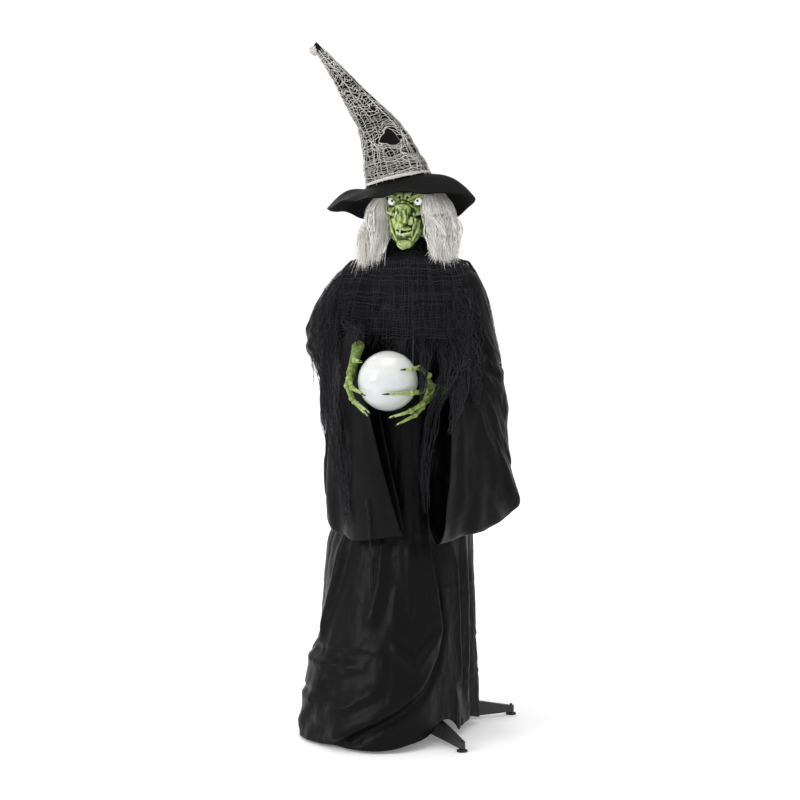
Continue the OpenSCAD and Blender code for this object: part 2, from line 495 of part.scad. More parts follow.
// ---- arms and globe ----
sh_l = [-165, bar_y, bar_z];
el_l = [-252, -18, 985];
wr_l = [-78, -186, 1030];
sh_r = [165, bar_y, bar_z];
el_r = [232, -40, 962];
wr_r = [136, -196, 922];
module shoulder_bar() color([0.6, 0.6, 0.62]) translate([-150, bar_y, bar_z]) rotate([0, 90, 0]) cylinder(r = 8, h = 300);
module arm(s, e, w, sgn) difference() {
  union() {
    rod(s, e, 9);
    rod(e, w, 8);
    ball(e, 13);
    translate([s[0] - 17*sgn - (sgn > 0 ? 0 : 34), s[1], s[2]]) rotate([0, 90, 0]) cylinder(r = 14, h = 34);
  }
  translate([s[0] - 20*sgn - (sgn > 0 ? 0 : 5.2), s[1], s[2]]) rotate([0, 90, 0]) cylinder(r = 8.02, h = 5.2);
}
module arm_right() color([0.15, 0.15, 0.16]) {
  rod(sh_l, el_l, 9);
  rod(el_l, wr_l, 8);
  ball(el_l, 13);
  translate([-180, bar_y, bar_z]) rotate([0, 90, 0]) cylinder(r = 14, h = 29.8);
}
module arm_left() color([0.15, 0.15, 0.16]) {
  rod(sh_r, el_r, 9);
  rod(el_r, wr_r, 8);
  ball(el_r, 13);
  translate([150.2, bar_y, bar_z]) rotate([0, 90, 0]) cylinder(r = 14, h = 29.8);
}
function gv(a, b, d) = globe_c + a*[0.94, 0.342, 0] + b*[-0.03, 0.085, 0.996] + d*[0.341, -0.936, 0.09];
// finger through points kept clear of the globe; last point is the nail tip
module finger(p, r) for (i = [0:len(p) - 2]) hull() {
  ball(p[i], r[i], $fn = 10);
  ball(p[i + 1], r[i + 1], $fn = 10);
}
module hand_left() color([0.28, 0.38, 0.12]) {
  hull() { ball(wr_r + [-16, -14, 0], 13, $fn = 14); ball(gv(100, -4, 2), 9.5, $fn = 14); ball(gv(99, -44, -4), 9, $fn = 14); }
  finger([gv(100, -4, 4), gv(97, 16, 24), gv(76, 32, 36), gv(36, 26, 76)], [8, 6.5, 6, 3]);
  finger([gv(101, -24, 4), gv(90, -26, 30), gv(48, -31, 68), gv(-11, -33, 82)], [8, 6.5, 6, 3]);
  finger([gv(97, -42, 2), gv(84, -58, 6), gv(56, -76, 8), gv(6, -92, 12)], [8, 6.5, 6, 3]);
  finger([gv(97, -46, -6), gv(86, -62, -16), gv(70, -80, -14), gv(26, -106, -8)], [8, 6.5, 6, 3]);
}
module hand_right() color([0.28, 0.38, 0.12]) {
  hull() { ball(wr_l + [10, -10, -6], 13, $fn = 14); ball(gv(-80, 44, -34), 10, $fn = 14); ball(gv(-94, 22, -32), 9, $fn = 14); }
  finger([gv(-92, 30, -20), gv(-98, 6, 0), gv(-88, -20, 18), gv(-60, -36, 56)], [8, 6.5, 6, 3]);
  finger([gv(-94, 24, -30), gv(-103, -14, -14), gv(-92, -44, 2), gv(-50, -80, 14)], [8, 6.5, 6, 3]);
  finger([gv(-88, 20, -44), gv(-96, -20, -34), gv(-86, -52, -24), gv(-52, -86, -14)], [8, 6.5, 6, 3]);
  finger([gv(-80, 46, -24), gv(-82, 44, 4), gv(-66, 47, 34)], [7.5, 6.5, 3]);
}
module globe() color([0.93, 0.93, 0.9]) translate(globe_c) rotate([-90, 0, 0]) rotate_extrude($fn = 96) difference() {
  circle(r = globe_r);
  circle(r = globe_r - 2);
  translate([-100, -100]) square([100, 200]);
  translate([-1, 0]) square([19, 90]);
}
module globe_lamp() color([0.9, 0.9, 0.95]) translate(globe_c) rotate([-90, 0, 0]) {
  translate([0, 0, 60]) cylinder(r = 17.6, h = 20);
  translate([0, 0, 56]) cylinder(r = 8, h = 5);
}
// sleeves; rows: inner-bend point, outer-bend point, half thickness vector
slv_r = [[[-160, -18, 1098], [-162, -18, 1190], [-2, 44, 0]], [[-176, -18, 1062], [-226, -16, 1158], [0, 46, 0]],
  [[-186, -24, 1016], [-282, -8, 1085], [8, 44, 0]], [[-190, -64, 1018], [-304, -2, 985], [20, 36, 0]],
  [[-172, -102, 1050], [-276, -8, 850], [24, 32, 0]], [[-146, -130, 1060], [-232, -56, 650], [25, 32, 0]],
  [[-118, -152, 1066], [-196, -86, 566], [25, 32, 0]], [[-100, -168, 1068], [-96, -164, 534], [22, 34, 0]],
  [[-86, -178, 1068], [36, -212, 556], [20, 36, 0]]];
slv_l = [[[160, -18, 1098], [162, -18, 1190], [2, 44, 0]], [[176, -18, 1062], [216, -14, 1152], [0, 46, 0]],
  [[188, -26, 1012], [252, -6, 1060], [-8, 44, 0]], [[200, -70, 992], [278, 4, 910], [-24, 38, 0]],
  [[190, -108, 980], [288, 12, 760], [-28, 34, 0]], [[178, -136, 972], [296, 8, 640], [-30, 32, 0]],
  [[166, -160, 966], [280, -22, 585], [-32, 30, 0]], [[156, -178, 962], [220, -104, 548], [-38, 28, 0]],
  [[146, -196, 958], [150, -204, 524], [-42, 28, 0]]];
nv = 24;
function slv(w, t, off) = let (c = (w[0] + w[1])/2, u = (w[0] - w[1])/2, v = w[2])
  c + u*(1 - off/norm(u))*cos(t) + v*(1 - off/norm(v))*sin(t);
module sleeve(w, s) ring_shell(concat(
  [for (q = w) [for (j = [0:nv - 1]) slv(q, s*360/nv*j, 0)]],
  [for (i = [len(w) - 1:-1:0]) [for (j = [0:nv - 1]) slv(w[i], s*360/nv*j, cloth)]]));
module sleeve_right() color([0.03, 0.03, 0.035]) sleeve(slv_r, 1);
module sleeve_left() color([0.03, 0.03, 0.035]) sleeve(slv_l, -1);

base_hub();
legs();
screws();
lower_pole();
middle_pole();
waist_case_lower();
waist_case_upper();
waist_motor();
robe_skirt();
foot_fr();
foot_fl();
foot_rr();
foot_rl();
snap_low();
snap_mid();
waist_pinion();
torso_post();
waist_gear();
control_box();
control_cover();
batteries();
circuit_board();
speaker();
shoulder_bracket();
shoulder_hanger();
neck_case();
neck_lid();
neck_motor();
robe_top();
shawl();
shawl_strands();
collar();
power_switch();
battery_door();
neck_pinion();
neck_shaft();
neck_gear();
head_frame();
mask_front();
back_shell();
eyes();
eye_lamps();
jaw_motor();
wig_left();
wig_right();
hat_cone();
hat_brim();
hat_gauze();
jaw_pinion();
jaw_shell();
jaw_bracket();
shoulder_bar();
arm_left();
arm_right();
hand_left();
hand_right();
globe();
globe_lamp();
sleeve_left();
sleeve_right();
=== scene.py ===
import bpy
import json
import math
import numpy as np
from mathutils import Vector, Matrix

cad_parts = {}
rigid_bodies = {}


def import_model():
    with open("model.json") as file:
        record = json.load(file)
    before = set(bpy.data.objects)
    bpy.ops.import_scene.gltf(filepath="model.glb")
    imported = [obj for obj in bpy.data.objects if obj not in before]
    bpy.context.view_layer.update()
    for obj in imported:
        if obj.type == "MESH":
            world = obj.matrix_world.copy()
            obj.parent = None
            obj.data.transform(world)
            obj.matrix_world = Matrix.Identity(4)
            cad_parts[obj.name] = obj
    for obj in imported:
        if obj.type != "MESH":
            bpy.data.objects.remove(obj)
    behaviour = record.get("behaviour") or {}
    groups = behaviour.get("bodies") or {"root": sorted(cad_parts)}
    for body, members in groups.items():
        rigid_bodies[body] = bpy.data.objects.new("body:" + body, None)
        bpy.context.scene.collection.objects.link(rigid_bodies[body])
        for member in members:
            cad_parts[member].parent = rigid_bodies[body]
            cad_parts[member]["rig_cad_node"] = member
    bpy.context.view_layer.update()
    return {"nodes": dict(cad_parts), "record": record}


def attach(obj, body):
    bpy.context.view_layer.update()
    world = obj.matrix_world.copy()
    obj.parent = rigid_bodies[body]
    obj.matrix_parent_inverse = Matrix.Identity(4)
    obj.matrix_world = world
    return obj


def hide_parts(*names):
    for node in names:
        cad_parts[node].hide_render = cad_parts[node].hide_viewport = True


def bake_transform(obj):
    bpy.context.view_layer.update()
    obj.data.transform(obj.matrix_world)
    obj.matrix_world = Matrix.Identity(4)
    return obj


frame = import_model()
RNG = np.random.default_rng(20261)
MM = 0.001
YAW = math.radians(8)


# ---------------------------------------------------------------- helpers
def link(o):
    bpy.context.scene.collection.objects.link(o)
    return o


def mesh_obj(name, V, quads=None, tris=None, smooth=True):
    """Mesh from numpy arrays: V in metres, quads (n,4), tris (m,3)."""
    V = np.asarray(V, np.float32).reshape(-1, 3)
    me = bpy.data.meshes.new(name)
    nq = 0 if quads is None else len(quads)
    nt = 0 if tris is None else len(tris)
    me.vertices.add(len(V))
    me.vertices.foreach_set("co", V.ravel())
    loops = []
    if nq:
        loops.append(np.asarray(quads, np.int32).ravel())
    if nt:
        loops.append(np.asarray(tris, np.int32).ravel())
    L = np.concatenate(loops)
    me.loops.add(len(L))
    me.loops.foreach_set("vertex_index", L)
    me.polygons.add(nq + nt)
    starts = np.concatenate([np.arange(nq) * 4, nq * 4 + np.arange(nt) * 3]).astype(np.int32)
    me.polygons.foreach_set("loop_start", starts)
    me.polygons.foreach_set("use_smooth", np.full(nq + nt, smooth))
    me.update(calc_edges=True)
    me.validate()
    return link(bpy.data.objects.new(name, me))


def set_attr(o, name, w):
    a = o.data.attributes.get(name) or o.data.attributes.new(name, "FLOAT", "POINT")
    a.data.foreach_set("value", np.asarray(w, np.float32))


def _hash(ix, iy, iz, seed):
    h = (ix.astype(np.uint64) * np.uint64(73856093)) ^ (iy.astype(np.uint64) * np.uint64(19349663)) ^ (iz.astype(np.uint64) * np.uint64(83492791)) ^ np.uint64(seed * 2654435761 % (1 << 32))
    h = (h ^ (h >> np.uint64(13))) * np.uint64(1274126177)
    h = (h ^ (h >> np.uint64(16))) & np.uint64(0xFFFFFF)
    return h.astype(np.float64) / float(0xFFFFFF) * 2 - 1


def vnoise(P, freq, seed=0):
    """Smooth value noise in -1..1; P (n,3)."""
    Q = np.asarray(P, float) * freq + 1000.0
    i = np.floor(Q).astype(np.int64)
    f = Q - i
    f = f * f * (3 - 2 * f)
    out = 0
    for dx in (0, 1):
        for dy in (0, 1):
            for dz in (0, 1):
                w = (f[:, 0] if dx else 1 - f[:, 0]) * (f[:, 1] if dy else 1 - f[:, 1]) * (f[:, 2] if dz else 1 - f[:, 2])
                out = out + w * _hash(i[:, 0] + dx, i[:, 1] + dy, i[:, 2] + dz, seed)
    return out


def fbm(P, freq, octaves=3, seed=0, gain=0.5):
    a, s, t = 1.0, 0.0, 0.0
    for k in range(octaves):
        s = s + a * vnoise(P, freq * 2 ** k, seed + 17 * k)
        t += a
        a *= gain
    return s / t


def smooth01(x):
    x = np.clip(x, 0, 1)
    return x * x * (3 - 2 * x)


def crom(P, n):
    """Catmull-Rom resampling of control rows P (k, ...) to n rows."""
    P = np.asarray(P, float)
    k = len(P)
    t = np.linspace(0, k - 1, n)
    i = np.clip(np.floor(t).astype(int), 0, k - 2)
    f = (t - i).reshape((-1,) + (1,) * (P.ndim - 1))
    p1, p2 = P[i], P[i + 1]
    p0 = np.where(i.reshape(f.shape) > 0, P[np.maximum(i - 1, 0)], 2 * p1 - p2)
    p3 = np.where(i.reshape(f.shape) < k - 2, P[np.minimum(i + 2, k - 1)], 2 * p2 - p1)
    return 0.5 * (2 * p1 + (p2 - p0) * f + (2 * p0 - 5 * p1 + 4 * p2 - p3) * f ** 2 + (3 * p1 - 3 * p2 + p3 - p0) * f ** 3)


def grid_quads(nv, nu, wrap=True):
    """Quads of a (nv, nu) grid; rows go down, columns by rising angle, faces outwards."""
    m = nu if wrap else nu - 1
    i, j = np.meshgrid(np.arange(nv - 1), np.arange(m), indexing="ij")
    a = i * nu + j
    b = i * nu + (j + 1) % nu
    return np.stack([a, a + nu, b + nu, b], -1).reshape(-1, 4)


def tubes(paths, radii, sides=4, taper_caps=True):
    """Many tubes at once. paths (n, m, 3), radii (n, m) or (m,). Returns V, quads, tris."""
    P = np.asarray(paths, float)
    n, m, _ = P.shape
    R = np.broadcast_to(np.asarray(radii, float), (n, m))
    T = np.gradient(P, axis=1)
    T /= np.linalg.norm(T, axis=2, keepdims=True) + 1e-12
    ref = np.where(np.abs(T[..., 2:3]) > 0.9, np.array([1.0, 0, 0]), np.array([0, 0, 1.0]))
    ref = np.broadcast_to(ref[:, :1], P.shape)
    U = np.cross(T, ref)
    U /= np.linalg.norm(U, axis=2, keepdims=True) + 1e-12
    W = np.cross(T, U)
    a = np.arange(sides) * 2 * math.pi / sides
    V = P[:, :, None, :] + R[:, :, None, None] * (np.cos(a)[None, None, :, None] * U[:, :, None, :] + np.sin(a)[None, None, :, None] * W[:, :, None, :])
    base = (np.arange(n) * m * sides)[:, None, None]
    i = np.arange(m - 1)[None, :, None] * sides
    j = np.arange(sides)[None, None, :]
    jn = (j + 1) % sides
    q = np.stack([base + i + j, base + i + jn, base + i + sides + jn, base + i + sides + j], -1).reshape(-1, 4)
    V = V.reshape(-1, 3)
    caps = []
    for e, flip in ((0, True), (m - 1, False)):
        idx = (np.arange(n) * m * sides)[:, None] + e * sides + np.arange(sides)[None, :]
        for k in range(1, sides - 1):
            t = np.stack([idx[:, 0], idx[:, k], idx[:, k + 1]], -1)
            caps.append(t[:, ::-1] if flip else t)
    return V, q, np.concatenate(caps)


def join_parts(parts):
    """parts: list of (V, quads, tris). Returns one."""
    Vs, Qs, Ts, off = [], [], [], 0
    for V, q, t in parts:
        Vs.append(V)
        if q is not None and len(q):
            Qs.append(q + off)
        if t is not None and len(t):
            Ts.append(t + off)
        off += len(V)
    return np.concatenate(Vs), (np.concatenate(Qs) if Qs else None), (np.concatenate(Ts) if Ts else None)


# ---------------------------------------------------------------- solid fields
def sd_cap(P, a, b, ra, rb=None):
    a, b = np.asarray(a, np.float32), np.asarray(b, np.float32)
    rb = ra if rb is None else rb
    d = b - a
    h = np.clip(((P - a) @ d) / max(float(d @ d), 1e-9), 0, 1)
    return np.linalg.norm(P - a - h[..., None] * d, axis=-1) - (ra + (rb - ra) * h)


def sd_ell(P, c, r):
    c, r = np.asarray(c, np.float32), np.asarray(r, np.float32)
    k = np.linalg.norm((P - c) / r, axis=-1)
    return (k - 1) * float(r.min()) * np.clip(k, 0.8, 1.4)


def smin(a, b, k):
    h = np.clip(0.5 + 0.5 * (b - a) / k, 0, 1)
    return b + (a - b) * h - k * h * (1 - h)


def smax(a, b, k):
    return -smin(-a, -b, k)


def surface_nets(F, org, h):
    """Quad mesh of F = 0 on a regular grid. Returns vertices and quads, faces outwards."""
    nx, ny, nz = F.shape
    S = F < 0
    cells = np.zeros((nx - 1, ny - 1, nz - 1), np.int8)
    for dx in (0, 1):
        for dy in (0, 1):
            for dz in (0, 1):
                cells += S[dx:nx - 1 + dx, dy:ny - 1 + dy, dz:nz - 1 + dz]
    act = (cells > 0) & (cells < 8)
    idx = -np.ones(act.shape, np.int64)
    c = np.argwhere(act)
    idx[act] = np.arange(len(c))
    acc = np.zeros((len(c), 3))
    cnt = np.zeros(len(c))
    corners = [(x, y, z) for x in (0, 1) for y in (0, 1) for z in (0, 1)]
    for ia, A in enumerate(corners):
        for B in corners[ia + 1:]:
            if sum(abs(A[k] - B[k]) for k in range(3)) != 1:
                continue
            fa = F[c[:, 0] + A[0], c[:, 1] + A[1], c[:, 2] + A[2]]
            fb = F[c[:, 0] + B[0], c[:, 1] + B[1], c[:, 2] + B[2]]
            m = (fa < 0) != (fb < 0)
            t = np.where(m, fa / np.where(np.abs(fa - fb) < 1e-12, 1, fa - fb), 0)
            p = np.array(A) + t[:, None] * (np.array(B) - np.array(A))
            acc += np.where(m[:, None], p, 0)
            cnt += m
    V = (c + acc / cnt[:, None]) * h + org
    quads = []
    for ax in range(3):
        o1, o2 = [(1, 2), (2, 0), (0, 1)][ax]
        sl0 = [slice(1, n - 1) for n in F.shape]
        sl1 = [slice(1, n - 1) for n in F.shape]
        sl0[ax] = slice(0, F.shape[ax] - 1)
        sl1[ax] = slice(1, F.shape[ax])
        a, b = S[tuple(sl0)], S[tuple(sl1)]
        for flip, m in ((False, a & ~b), (True, ~a & b)):
            e = np.argwhere(m)
            if not len(e):
                continue
            e = e + np.array([0 if k == ax else 1 for k in range(3)])
            def cell(d1, d2):
                q = e.copy()
                q[:, o1] -= d1
                q[:, o2] -= d2
                return idx[q[:, 0], q[:, 1], q[:, 2]]
            Q = np.stack([cell(1, 1), cell(0, 1), cell(0, 0), cell(1, 0)], -1)
            quads.append(Q[:, ::-1] if flip else Q)
    Q = np.concatenate(quads)
    return V, Q[(Q >= 0).all(1)]


def sample_grid(F, org, h, P):
    q = np.clip((P - org) / h, 0, np.array(F.shape) - 1.001)
    i = np.floor(q).astype(int)
    f = q - i
    out = 0
    for dx in (0, 1):
        for dy in (0, 1):
            for dz in (0, 1):
                w = (f[:, 0] if dx else 1 - f[:, 0]) * (f[:, 1] if dy else 1 - f[:, 1]) * (f[:, 2] if dz else 1 - f[:, 2])
                out = out + w * F[i[:, 0] + dx, i[:, 1] + dy, i[:, 2] + dz]
    return out


def blur3(F, n=1):
    for _ in range(n):
        for ax in range(3):
            F = (np.roll(F, 1, ax) + np.roll(F, -1, ax) + 2 * F) / 4
    return F


def cavity(F, org, h, V, n=3):
    """About -1 in creases, +1 on ridges, from the field's curvature."""
    G = blur3(F.astype(np.float32), n)
    lap = np.zeros_like(G)
    for ax in range(3):
        lap += np.roll(G, 1, ax) + np.roll(G, -1, ax) - 2 * G
    lap /= h * h
    return sample_grid(lap, org, h, V)


def field_grid(lo, hi, h):
    n = [int(math.ceil((b - a) / h)) + 1 for a, b in zip(lo, hi)]
    ax = [np.arange(k, dtype=np.float32) * h + a for k, a in zip(n, lo)]
    X = np.stack(np.meshgrid(*ax, indexing="ij"), -1)
    return X, np.array(lo, float)


# ---------------------------------------------------------------- materials
class NT:
    """Small node-tree writer."""

    def __init__(self, name):
        self.m = bpy.data.materials.new(name)
        self.m.use_nodes = True
        self.t = self.m.node_tree
        self.p = self.t.nodes["Principled BSDF"]

    def n(self, kind, **kw):
        o = self.t.nodes.new(kind)
        for k, v in kw.items():
            if k.startswith("i_"):
                o.inputs[k[2:].replace("_", " ")].default_value = v
            else:
                setattr(o, k, v)
        return o

    def l(self, a, b):
        self.t.links.new(a, b)

    def set(self, **kw):
        for k, v in kw.items():
            self.p.inputs[k.replace("_", " ")].default_value = v

    def ramp(self, src, stops, out=None):
        r = self.n("ShaderNodeValToRGB")
        e = r.color_ramp.elements
        while len(e) < len(stops):
            e.new(0.5)
        for x, (pos, col) in zip(e, stops):
            x.position = pos
            x.color = tuple(col) + (1,) if len(col) == 3 else col
        self.l(src, r.inputs[0])
        if out is not None:
            self.l(r.outputs[0], out)
        return r.outputs[0]

    def coords(self):
        return self.n("ShaderNodeNewGeometry").outputs["Position"] if False else self.n("ShaderNodeTexCoord").outputs["Object"]

    def noise(self, scale, detail=4, rough=0.55, vec=None, dist=0.0):
        x = self.n("ShaderNodeTexNoise")
        x.inputs["Scale"].default_value = scale
        x.inputs["Detail"].default_value = detail
        x.inputs["Roughness"].default_value = rough
        x.inputs["Distortion"].default_value = dist
        self.l(vec if vec is not None else self.coords(), x.inputs["Vector"])
        return x.outputs["Fac"]

    def bump(self, src, strength, dist=0.001):
        b = self.n("ShaderNodeBump")
        b.inputs["Strength"].default_value = strength
        b.inputs["Distance"].default_value = dist
        self.l(src, b.inputs["Height"])
        self.l(b.outputs[0], self.p.inputs["Normal"])
        return b

    def mix(self, fac, a, b, mode="MIX"):
        x = self.n("ShaderNodeMix", data_type="RGBA", blend_type=mode)
        for s, v in ((x.inputs[0], fac), (x.inputs[6], a), (x.inputs[7], b)):
            if hasattr(v, "links"):
                self.l(v, s)
            else:
                s.default_value = v if not isinstance(v, tuple) or len(v) == 4 else v + (1,)
        return x.outputs[2]

    def attr(self, name):
        a = self.n("ShaderNodeAttribute")
        a.attribute_name = name
        return a.outputs["Fac"]

    def math(self, op, a, b=0.5):
        x = self.n("ShaderNodeMath", operation=op)
        for s, v in ((x.inputs[0], a), (x.inputs[1], b)):
            if hasattr(v, "links"):
                self.l(v, s)
            else:
                s.default_value = v
        return x.outputs[0]


def m_plain(name, col, rough=0.5, metal=0.0, noise_scale=60, var=0.25, bump=0.15, coat=0.0):
    t = NT(name)
    f = t.noise(noise_scale, 5)
    dark = tuple(c * (1 - var) for c in col)
    light = tuple(min(1, c * (1 + var)) for c in col)
    t.ramp(f, [(0.3, dark), (0.7, light)], t.p.inputs["Base Color"])
    r = t.ramp(t.noise(noise_scale * 2.3, 4), [(0.3, (rough * 0.8,) * 3), (0.7, (min(1, rough * 1.25),) * 3)])
    t.l(r, t.p.inputs["Roughness"])
    t.set(Metallic=metal, Coat_Weight=coat)
    t.bump(t.noise(noise_scale * 9, 3), bump, 0.0004)
    return t.m


def m_skin():
    t = NT("green_skin")
    c = t.attr("cav")
    n1 = t.noise(42, 5, 0.6)
    n2 = t.noise(160, 4, 0.6)
    # painted shade and highlight: the cav curvature sets the skin colour, dark olive in creases and hollows, pale on
    # ridges
    base = t.ramp(c, [(0.0, (0.008, 0.015, 0.002)), (0.26, (0.036, 0.062, 0.006)), (0.46, (0.105, 0.165, 0.026)), (0.7, (0.24, 0.33, 0.085)), (1.0, (0.56, 0.66, 0.33))])
    mott = t.ramp(n1, [(0.35, (0.55, 0.62, 0.4)), (0.6, (1.0, 1.0, 1.0)), (0.8, (1.25, 1.15, 0.8))])
    col = t.mix(0.8, base, mott, "MULTIPLY")
    veins = t.ramp(n2, [(0.45, (1, 1, 1)), (0.62, (0.62, 0.7, 0.5))])
    col = t.mix(0.6, col, veins, "MULTIPLY")
    nail = t.attr("nail")
    col = t.mix(nail, col, (0.012, 0.009, 0.012))
    tooth = t.attr("tooth")
    col = t.mix(tooth, col, (0.62, 0.55, 0.36))
    # painted shade: the inside of the open mouth is near-black
    mouth = t.attr("mouth")
    col = t.mix(mouth, col, (0.012, 0.004, 0.003))
    t.l(col, t.p.inputs["Base Color"])
    t.set(Roughness=0.5, Subsurface_Weight=0.06, Subsurface_Scale=0.004, Specular_IOR_Level=0.4)
    t.p.inputs["Subsurface Radius"].default_value = (0.6, 1.0, 0.3)
    t.bump(t.mix(0.5, n2, t.noise(420, 3)), 0.5, 0.0009)
    return t.m


def m_cloth(name, col, rough=0.55, sheen=0.25, weave=900.0, var=0.35, bump=0.25, spec=0.5):
    t = NT(name)
    n = t.noise(9, 4, 0.6)
    t.ramp(n, [(0.3, tuple(c * (1 - var) for c in col)), (0.7, tuple(c * (1 + var) for c in col))], t.p.inputs["Base Color"])
    t.set(Roughness=rough, Sheen_Weight=sheen, Sheen_Roughness=0.4, Specular_IOR_Level=spec)
    t.p.inputs["Sheen Tint"].default_value = (0.8, 0.85, 1.0, 1)
    t.bump(t.mix(0.5, t.noise(weave, 2), t.noise(60, 5)), bump, 0.0006)
    return t.m


def m_hair():
    t = NT("wig_hair")
    f = t.attr("tone")
    t.ramp(f, [(0.0, (0.74, 0.71, 0.66)), (0.45, (0.90, 0.88, 0.83)), (1.0, (0.98, 0.965, 0.93))], t.p.inputs["Base Color"])
    t.set(Roughness=0.42, Specular_IOR_Level=0.5)
    return t.m


def m_thread(name, stops, rough=0.85):
    t = NT(name)
    t.ramp(t.attr("tone"), stops, t.p.inputs["Base Color"])
    t.set(Roughness=rough, Sheen_Weight=0.0, Specular_IOR_Level=0.15)
    return t.m


def m_globe():
    t = NT("globe_pearl")
    g = t.n("ShaderNodeSeparateXYZ")
    t.l(t.coords(), g.inputs[0])
    z = t.math("MULTIPLY_ADD", g.outputs[2], 1.0)
    k = t.n("ShaderNodeMapRange")
    t.l(g.outputs[2], k.inputs[0])
    k.inputs[1].default_value = -0.0762
    k.inputs[2].default_value = 0.0762
    # painted shade: the pearl colour darkens towards the bottom of the globe and is lightest and warmest at the top
    col = t.ramp(k.outputs[0], [(0.0, (0.50, 0.51, 0.49)), (0.4, (0.58, 0.61, 0.61)), (0.7, (0.64, 0.66, 0.65)), (1.0, (0.68, 0.67, 0.64))])
    sw = t.ramp(t.noise(22, 3, 0.5, dist=1.2), [(0.3, (0.9, 0.93, 0.96)), (0.7, (1.0, 0.99, 0.97))])
    t.l(t.mix(0.7, col, sw, "MULTIPLY"), t.p.inputs["Base Color"])
    t.set(Roughness=0.16, Subsurface_Weight=0.25, Subsurface_Scale=0.02, Coat_Weight=0.7, Coat_Roughness=0.08, Emission_Strength=0.0, Sheen_Weight=0.0)
    t.p.inputs["Emission Color"].default_value = (0.95, 0.97, 1.0, 1)
    return t.m


def m_glow(name, col, strength):
    t = NT(name)
    t.p.inputs["Base Color"].default_value = col + (1,)
    t.p.inputs["Emission Color"].default_value = col + (1,)
    t.set(Emission_Strength=strength, Roughness=0.3)
    return t.m


M = {
    "skin": m_skin(),
    "robe": m_cloth("robe_cloth", (0.0022, 0.0021, 0.0023), 0.42, 0.0, 1400, 0.25, 0.2, 0.105),
    "steelcloth": m_cloth("piping_cloth", (0.07, 0.07, 0.075), 0.5, 0.1, 1400, 0.25, 0.2, 0.3),
    "hat": m_cloth("hat_cloth", (0.0030, 0.0030, 0.0028), 0.7, 0.0, 700, 0.3, 0.4, 0.08),
    "hair": m_hair(),
    "cream": m_thread("cream_gauze", [(0.0, (0.24, 0.225, 0.20)), (0.5, (0.54, 0.515, 0.475)), (1.0, (0.86, 0.84, 0.80))]),
    "gauze": m_thread("black_gauze", [(0.0, (0.004, 0.004, 0.005)), (1.0, (0.048, 0.048, 0.055))]),
    "globe": m_globe(),
    "eye": m_glow("eye_lens", (0.86, 0.9, 0.86), 0.22),
    "pupil": m_plain("pupil", (0.01, 0.01, 0.01), 0.3, 0, 60, 0.1, 0.0),
    "paint": m_plain("black_paint", (0.009, 0.009, 0.010), 0.5, 0.0, 70, 0.3, 0.12, 0.1),
    "steel": m_plain("zinc", (0.5, 0.5, 0.52), 0.35, 1.0, 90, 0.15, 0.08),
    "rubber": m_plain("foot_rubber", (0.016, 0.016, 0.017), 0.8, 0, 200, 0.3, 0.3),
    "plastic": m_plain("black_plastic", (0.03, 0.03, 0.033), 0.55, 0, 300, 0.2, 0.2),
    "motor": m_plain("motor_can", (0.4, 0.41, 0.42), 0.3, 1.0, 50, 0.12, 0.05),
    "gear": m_plain("gear_plastic", (0.7, 0.69, 0.62), 0.45, 0, 60, 0.08, 0.05),
    "board": m_plain("circuit", (0.02, 0.13, 0.05), 0.4, 0, 200, 0.4, 0.1, 0.4),
    "cell": m_plain("battery_cell", (0.5, 0.32, 0.08), 0.35, 0.6, 40, 0.15, 0.03, 0.3),
    "red": m_plain("switch_red", (0.45, 0.03, 0.02), 0.35, 0, 80, 0.1, 0.05, 0.3),
    "lamp": m_plain("lamp_board", (0.75, 0.76, 0.78), 0.4, 0, 80, 0.08, 0.03),
    "tip": m_plain("hat_tip", (0.012, 0.012, 0.013), 0.7, 0, 300, 0.3, 0.3),
}
SLOT_MAT = {"black_paint": "paint", "foot_rubber": "rubber", "zinc": "steel", "black_plastic": "plastic", "motor_can": "motor", "gear_plastic": "gear",
            "robe_cloth": "robe", "black_gauze": "gauze", "cream_gauze": "cream", "hat_felt": "hat", "wig_hair": "hair", "green_skin": "skin", "eye_lens": "eye",
            "lamp_board": "lamp", "circuit": "board", "battery_cell": "cell", "switch_red": "red", "globe_plastic": "globe"}


def use(o, key):
    o.data.materials.clear()
    o.data.materials.append(M[key])
    return o


# CAD pieces that are shown as they are get real finishes and softened edges
slot_of = {s["node"]: s["material_slot"] for s in frame["record"]["subparts"]}
for name, o in frame["nodes"].items():
    use(o, SLOT_MAT[slot_of[name]])
    for poly in o.data.polygons:
        poly.use_smooth = False
    if len(o.data.polygons) < 12000 and slot_of[name] not in ("robe_cloth", "black_gauze", "cream_gauze", "hat_felt", "wig_hair", "green_skin"):
        small = min(o.dimensions) if min(o.dimensions) > 0 else 0.001
        bv = o.modifiers.new("bevel", "BEVEL")
        bv.width = min(0.0008, small * 0.08)
        bv.segments = 2
        bv.limit_method = "ANGLE"
        bv.angle_limit = math.radians(38)
        bv.harden_normals = False
        o.data.shade_auto_smooth(angle=math.radians(35)) if hasattr(o.data, "shade_auto_smooth") else None


# ---------------------------------------------------------------- head
def head_to_world(P):
    """Head-local mm to row-frame metres."""
    P = np.asarray(P, float)
    c, s = math.cos(YAW), math.sin(YAW)
    return np.stack([(P[:, 0] * c - P[:, 1] * s), (P[:, 0] * s + P[:, 1] * c), P[:, 2]], -1) * MM


def ridged(P, freq, seed, octaves=2):
    s, a, t = 0.0, 1.0, 0.0
    for k in range(octaves):
        s = s + a * (1 - np.abs(vnoise(P, freq * 2 ** k, seed + 31 * k)) * 2.2)
        t += a
        a *= 0.5
    return np.clip(s / t, -1, 1)


def skin_y(F, org, h, x, z):
    i = int(round((x - org[0]) / h))
    k = int(round((z - org[2]) / h))
    col = F[i, :, k]
    j = int(np.argmax(col < 0))
    return org[1] + h * j - (col[j] / (col[j] - col[j - 1]) * h if j else 0)


